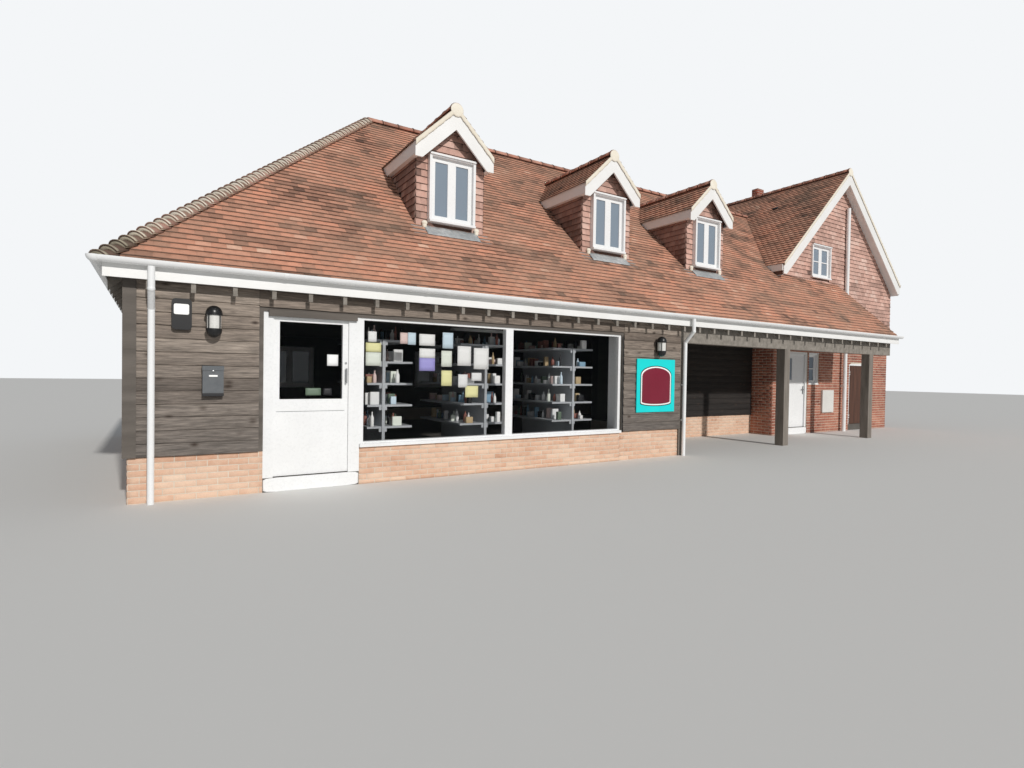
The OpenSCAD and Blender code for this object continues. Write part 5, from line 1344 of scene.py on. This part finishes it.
# %% [markdown]
# The shop's window and door carry plain sheets of paper, and its shelves carry boxes and bottles.
# None of them bears words or pictures. A sheet is a thin closed slab with a slight curl, and the
# goods stand in random rows, set by a seeded generator so that every run is the same.

# %% Papers on the glass
def sheet_rings(left, right, low, high, y, curl=0.002, thick=0.0005):
    """Rings round a sheet, seen from above: the front runs left to right, the back returns. The
    sheet stands off the glass by curl * (1 - sin(pi * share)) towards its sides."""
    across = np.linspace(0, 1, 5)
    bend = y + curl * (1 - np.sin(math.pi * across))
    x = left + (right - left) * np.concatenate([across, across[::-1]])
    depth = np.concatenate([bend, bend[::-1] + thick])
    height = np.linspace(low, high, 4)
    ring = np.stack(np.broadcast_arrays(x[None], depth[None], height[:, None]), axis=2)
    return ring.reshape(-1, 3), ring_quads(4, 10)


def hang_sheets(name, rows, y, body="building"):
    """Sheets given as (left, right, low, high, print) rows; print picks one of the colours."""
    parts = [sheet_rings(*row[:4], y) for row in rows]
    points, faces = join_parts(parts)
    tones = np.repeat([(row[4] + 0.5) / len(PRINT_COLOURS) for row in rows], 40)
    return make_piece(name, points, faces, PRINTED, body, {"tone": tones})


hang_sheets("window_papers", [
    (2.759, 2.878, 1.944, 2.089, 1), (2.727, 2.944, 1.614, 1.80, 3), (2.727, 2.944, 1.805, 1.931, 6),
    (3.221, 3.335, 1.937, 2.095, 7), (3.337, 3.459, 1.928, 2.101, 2), (3.512, 3.759, 1.924, 2.091, 1),
    (3.516, 3.763, 1.745, 1.882, 1), (3.516, 3.763, 1.556, 1.743, 5), (3.882, 4.055, 1.895, 2.131, 2),
    (3.865, 4.037, 1.624, 1.860, 3), (3.869, 4.042, 1.338, 1.567, 6), (4.132, 4.360, 1.644, 1.940, 1),
    (4.410, 4.670, 1.597, 1.922, 1), (4.148, 4.307, 1.316, 1.513, 0), (4.375, 4.549, 1.416, 1.540, 0),
    (4.270, 4.492, 1.164, 1.340, 6),
], 0.0866)
# %% [markdown]
# Goods stand in rows on the shop's shelves. Real stock is boxes and bottles of a few sizes, and
# only its bulk and colours show from the street, so the two unit solids are scattered along the
# shelves with random gaps, sizes and plain colours, from one seeded generator.

# %% Goods on the shelves
SHELF_POSTS = (3.134, 4.861, 6.679)
SHELF_TOPS = (0.725, 1.046, 1.367, 1.689, 2.010)
SHELF_RUN = np.arange(0.57, 2.05, 0.095)
random = np.random.default_rng(121)
grids = np.meshgrid(SHELF_POSTS, SHELF_TOPS, (-1, 1), SHELF_RUN, indexing="ij")
kept = random.random(grids[0].size) < 0.82
post, top, side, y = (grid.ravel()[kept] for grid in grids)
count = len(y)
reach = np.where((post < 3.2) & (side < 0), 0.13, 0.24)
places = np.stack([
    post + side * (reach + random.uniform(-0.04, 0.06, count)),
    y + random.uniform(-0.02, 0.02, count),
    top + 0.001,
], axis=1)
kind = random.random(count) < 0.6
BOX_RANGES = ((0.03, 0.075), (0.025, 0.042), (0.06, 0.19))
boxes = np.stack([random.uniform(*ends, count) for ends in BOX_RANGES], axis=1)
round_size = random.uniform(0.020, 0.034, count)
bottles = np.stack([round_size, round_size, random.uniform(0.13, 0.22, count)], axis=1)
PICKS = np.array([0, 0, 1, 1, 2, 3, 4, 7, 8, 8, 9, 10, 11, 11])
prints = (random.choice(PICKS, count) + 0.5) / len(PRINT_COLOURS)
for name, unit, chosen, sizes in (("boxed", BOX, kind, boxes), ("bottled", BOTTLE, ~kind, bottles)):
    set_solids(
        f"{name}_goods", LEVEL, unit, places[chosen], sizes[chosen], prints[chosen], PRINTED,
    )
set_solids(
    "ceiling_lamp", LEVEL, BOX, [(5.55, 1.98, 2.33)], [(0.62, 0.06, 0.05)], 0.1, PRINTED,
)

# %% [markdown]
# The shop door has a fine dark line across its lower panel, and both white doors stand over a
# pale riser that closes the step below them. They are thin boxes on the front's own plane. The
# papers on the door's glass move with it, so they are a piece of their own.

# %% Door papers, line and risers
hang_sheets("door_papers", [
    (2.20, 2.345, 1.60, 1.75, 0), (1.93, 2.123, 1.21, 1.306, 10), (2.156, 2.268, 1.21, 1.306, 11),
], 0.0585, "shop_door")
set_solids(
    "door_panel_line", FRONT, BOX, [(1.999, 1.006, -0.0455)], [(0.435, 0.003, 0.0015)], 0.0, GREY_METAL,
    "shop_door",
)
set_solids(
    "door_risers", FRONT, BOX, [(2.019, 0.089, -0.018), (15.34, 0.089, -1.498)],
    [(0.604, 0.089, 0.003), (0.455, 0.089, 0.003)], 0.0, WHITE_PLASTIC,
)

# %% [markdown]
# Fittings on the front: the sign's plain arched plaque, the alarm's pale face, the letter box's
# label and lock with a black strip at its foot that paints the box's shadow, and a black strip at
# the right of the window frame that paints the shade in the gap there. The plaque carries no words.

# %% Sign plaque and small fittings
def plaque(half_wide, low, high, arch, sag, steps=14):
    """Outline of a board with an arched head and a shallow curved foot: going up the right side
    and down the left, both at the same heights, so that strips can close it."""
    turn = np.linspace(0.08, math.pi / 2, steps // 2)
    foot = np.stack([half_wide * np.sin(turn), low + sag * (1 - np.cos(turn))], axis=1)
    head = np.stack([half_wide * np.cos(turn - 0.08), high - arch + arch * np.sin(turn - 0.08)], axis=1)
    right_side = np.concatenate([foot, head])
    left_side = right_side[::-1] * [-1, 1]
    return np.concatenate([right_side, left_side])


SIGN_CENTRE, SIGN_FACE, SIGN_LAYER = 8.205, -0.048, 0.002


def stand_plaque(name, layer, outline, material, tone=0.5):
    """The outline carried forward from the layer below it, with a small bevel at the front."""
    sides = len(outline)
    middle = outline.mean(axis=0)
    levels = np.array([0.0, 0.7, 1.0]) * SIGN_LAYER
    shrink = np.array([1.0, 1.0, 0.995])
    ring = middle + (outline - middle)[None] * shrink[:, None, None]
    y = SIGN_FACE - layer * SIGN_LAYER - levels[:, None] + 0 * ring[..., 0]
    points = np.stack([SIGN_CENTRE + ring[..., 0], y, ring[..., 1]], axis=2)
    tones = {"tone": np.full(3 * sides, tone)}
    make_piece(name, points, ring_quads(3, sides), material, values=tones)


stand_plaque("sign_plaque_shadow", 0, plaque(0.405, 0.975, 1.728, 0.17, 0.05), BLACK_METAL)
stand_plaque("sign_plaque_edge", 1, plaque(0.390, 0.990, 1.713, 0.165, 0.05), PRINTED, 0.1)
stand_plaque("sign_plaque", 2, plaque(0.366, 1.014, 1.689, 0.158, 0.045), MAROON)
BOX_X, BOX_FACE = 0.8545, 0.118
gap_half = (FRAME_TOP - 0.53) / 2
for name, unit, centres, sizes, tones, material, slot in (
    ("alarm_face", BOX, [(0.5305, 2.2095, 0.090)], [(0.0765, 0.0605, 0.002)], 0.1, PRINTED, "black_metal"),
    # The label's second box, black at the box's foot, is a painted shadow.
    ("letter_box_label_and_painted_shadow", BOX, [(BOX_X, 1.452, BOX_FACE), (BOX_X, 1.234, BOX_FACE)],
     [(0.046, 0.011, 0.0015), (0.112, 0.017, 0.0015)], [0.1, 0.96], PRINTED, "grey_metal"),
    ("letter_box_lock", DOME, [(BOX_X, 1.508, BOX_FACE)], [(0.013, 0.013, 0.004)], 0.5, SATIN, "grey_metal"),
    # A thin black strip in the gap at the window frame's right: painted shade.
    ("window_gap_painted_shade", BOX, [(7.380, (0.53 + FRAME_TOP) / 2, 0.0302)], [(0.011, gap_half, 0.002)], 0.0,
     BLACK_METAL, "dark_timber"),
):
    set_solids(name, FRONT, unit, centres, sizes, tones, material)
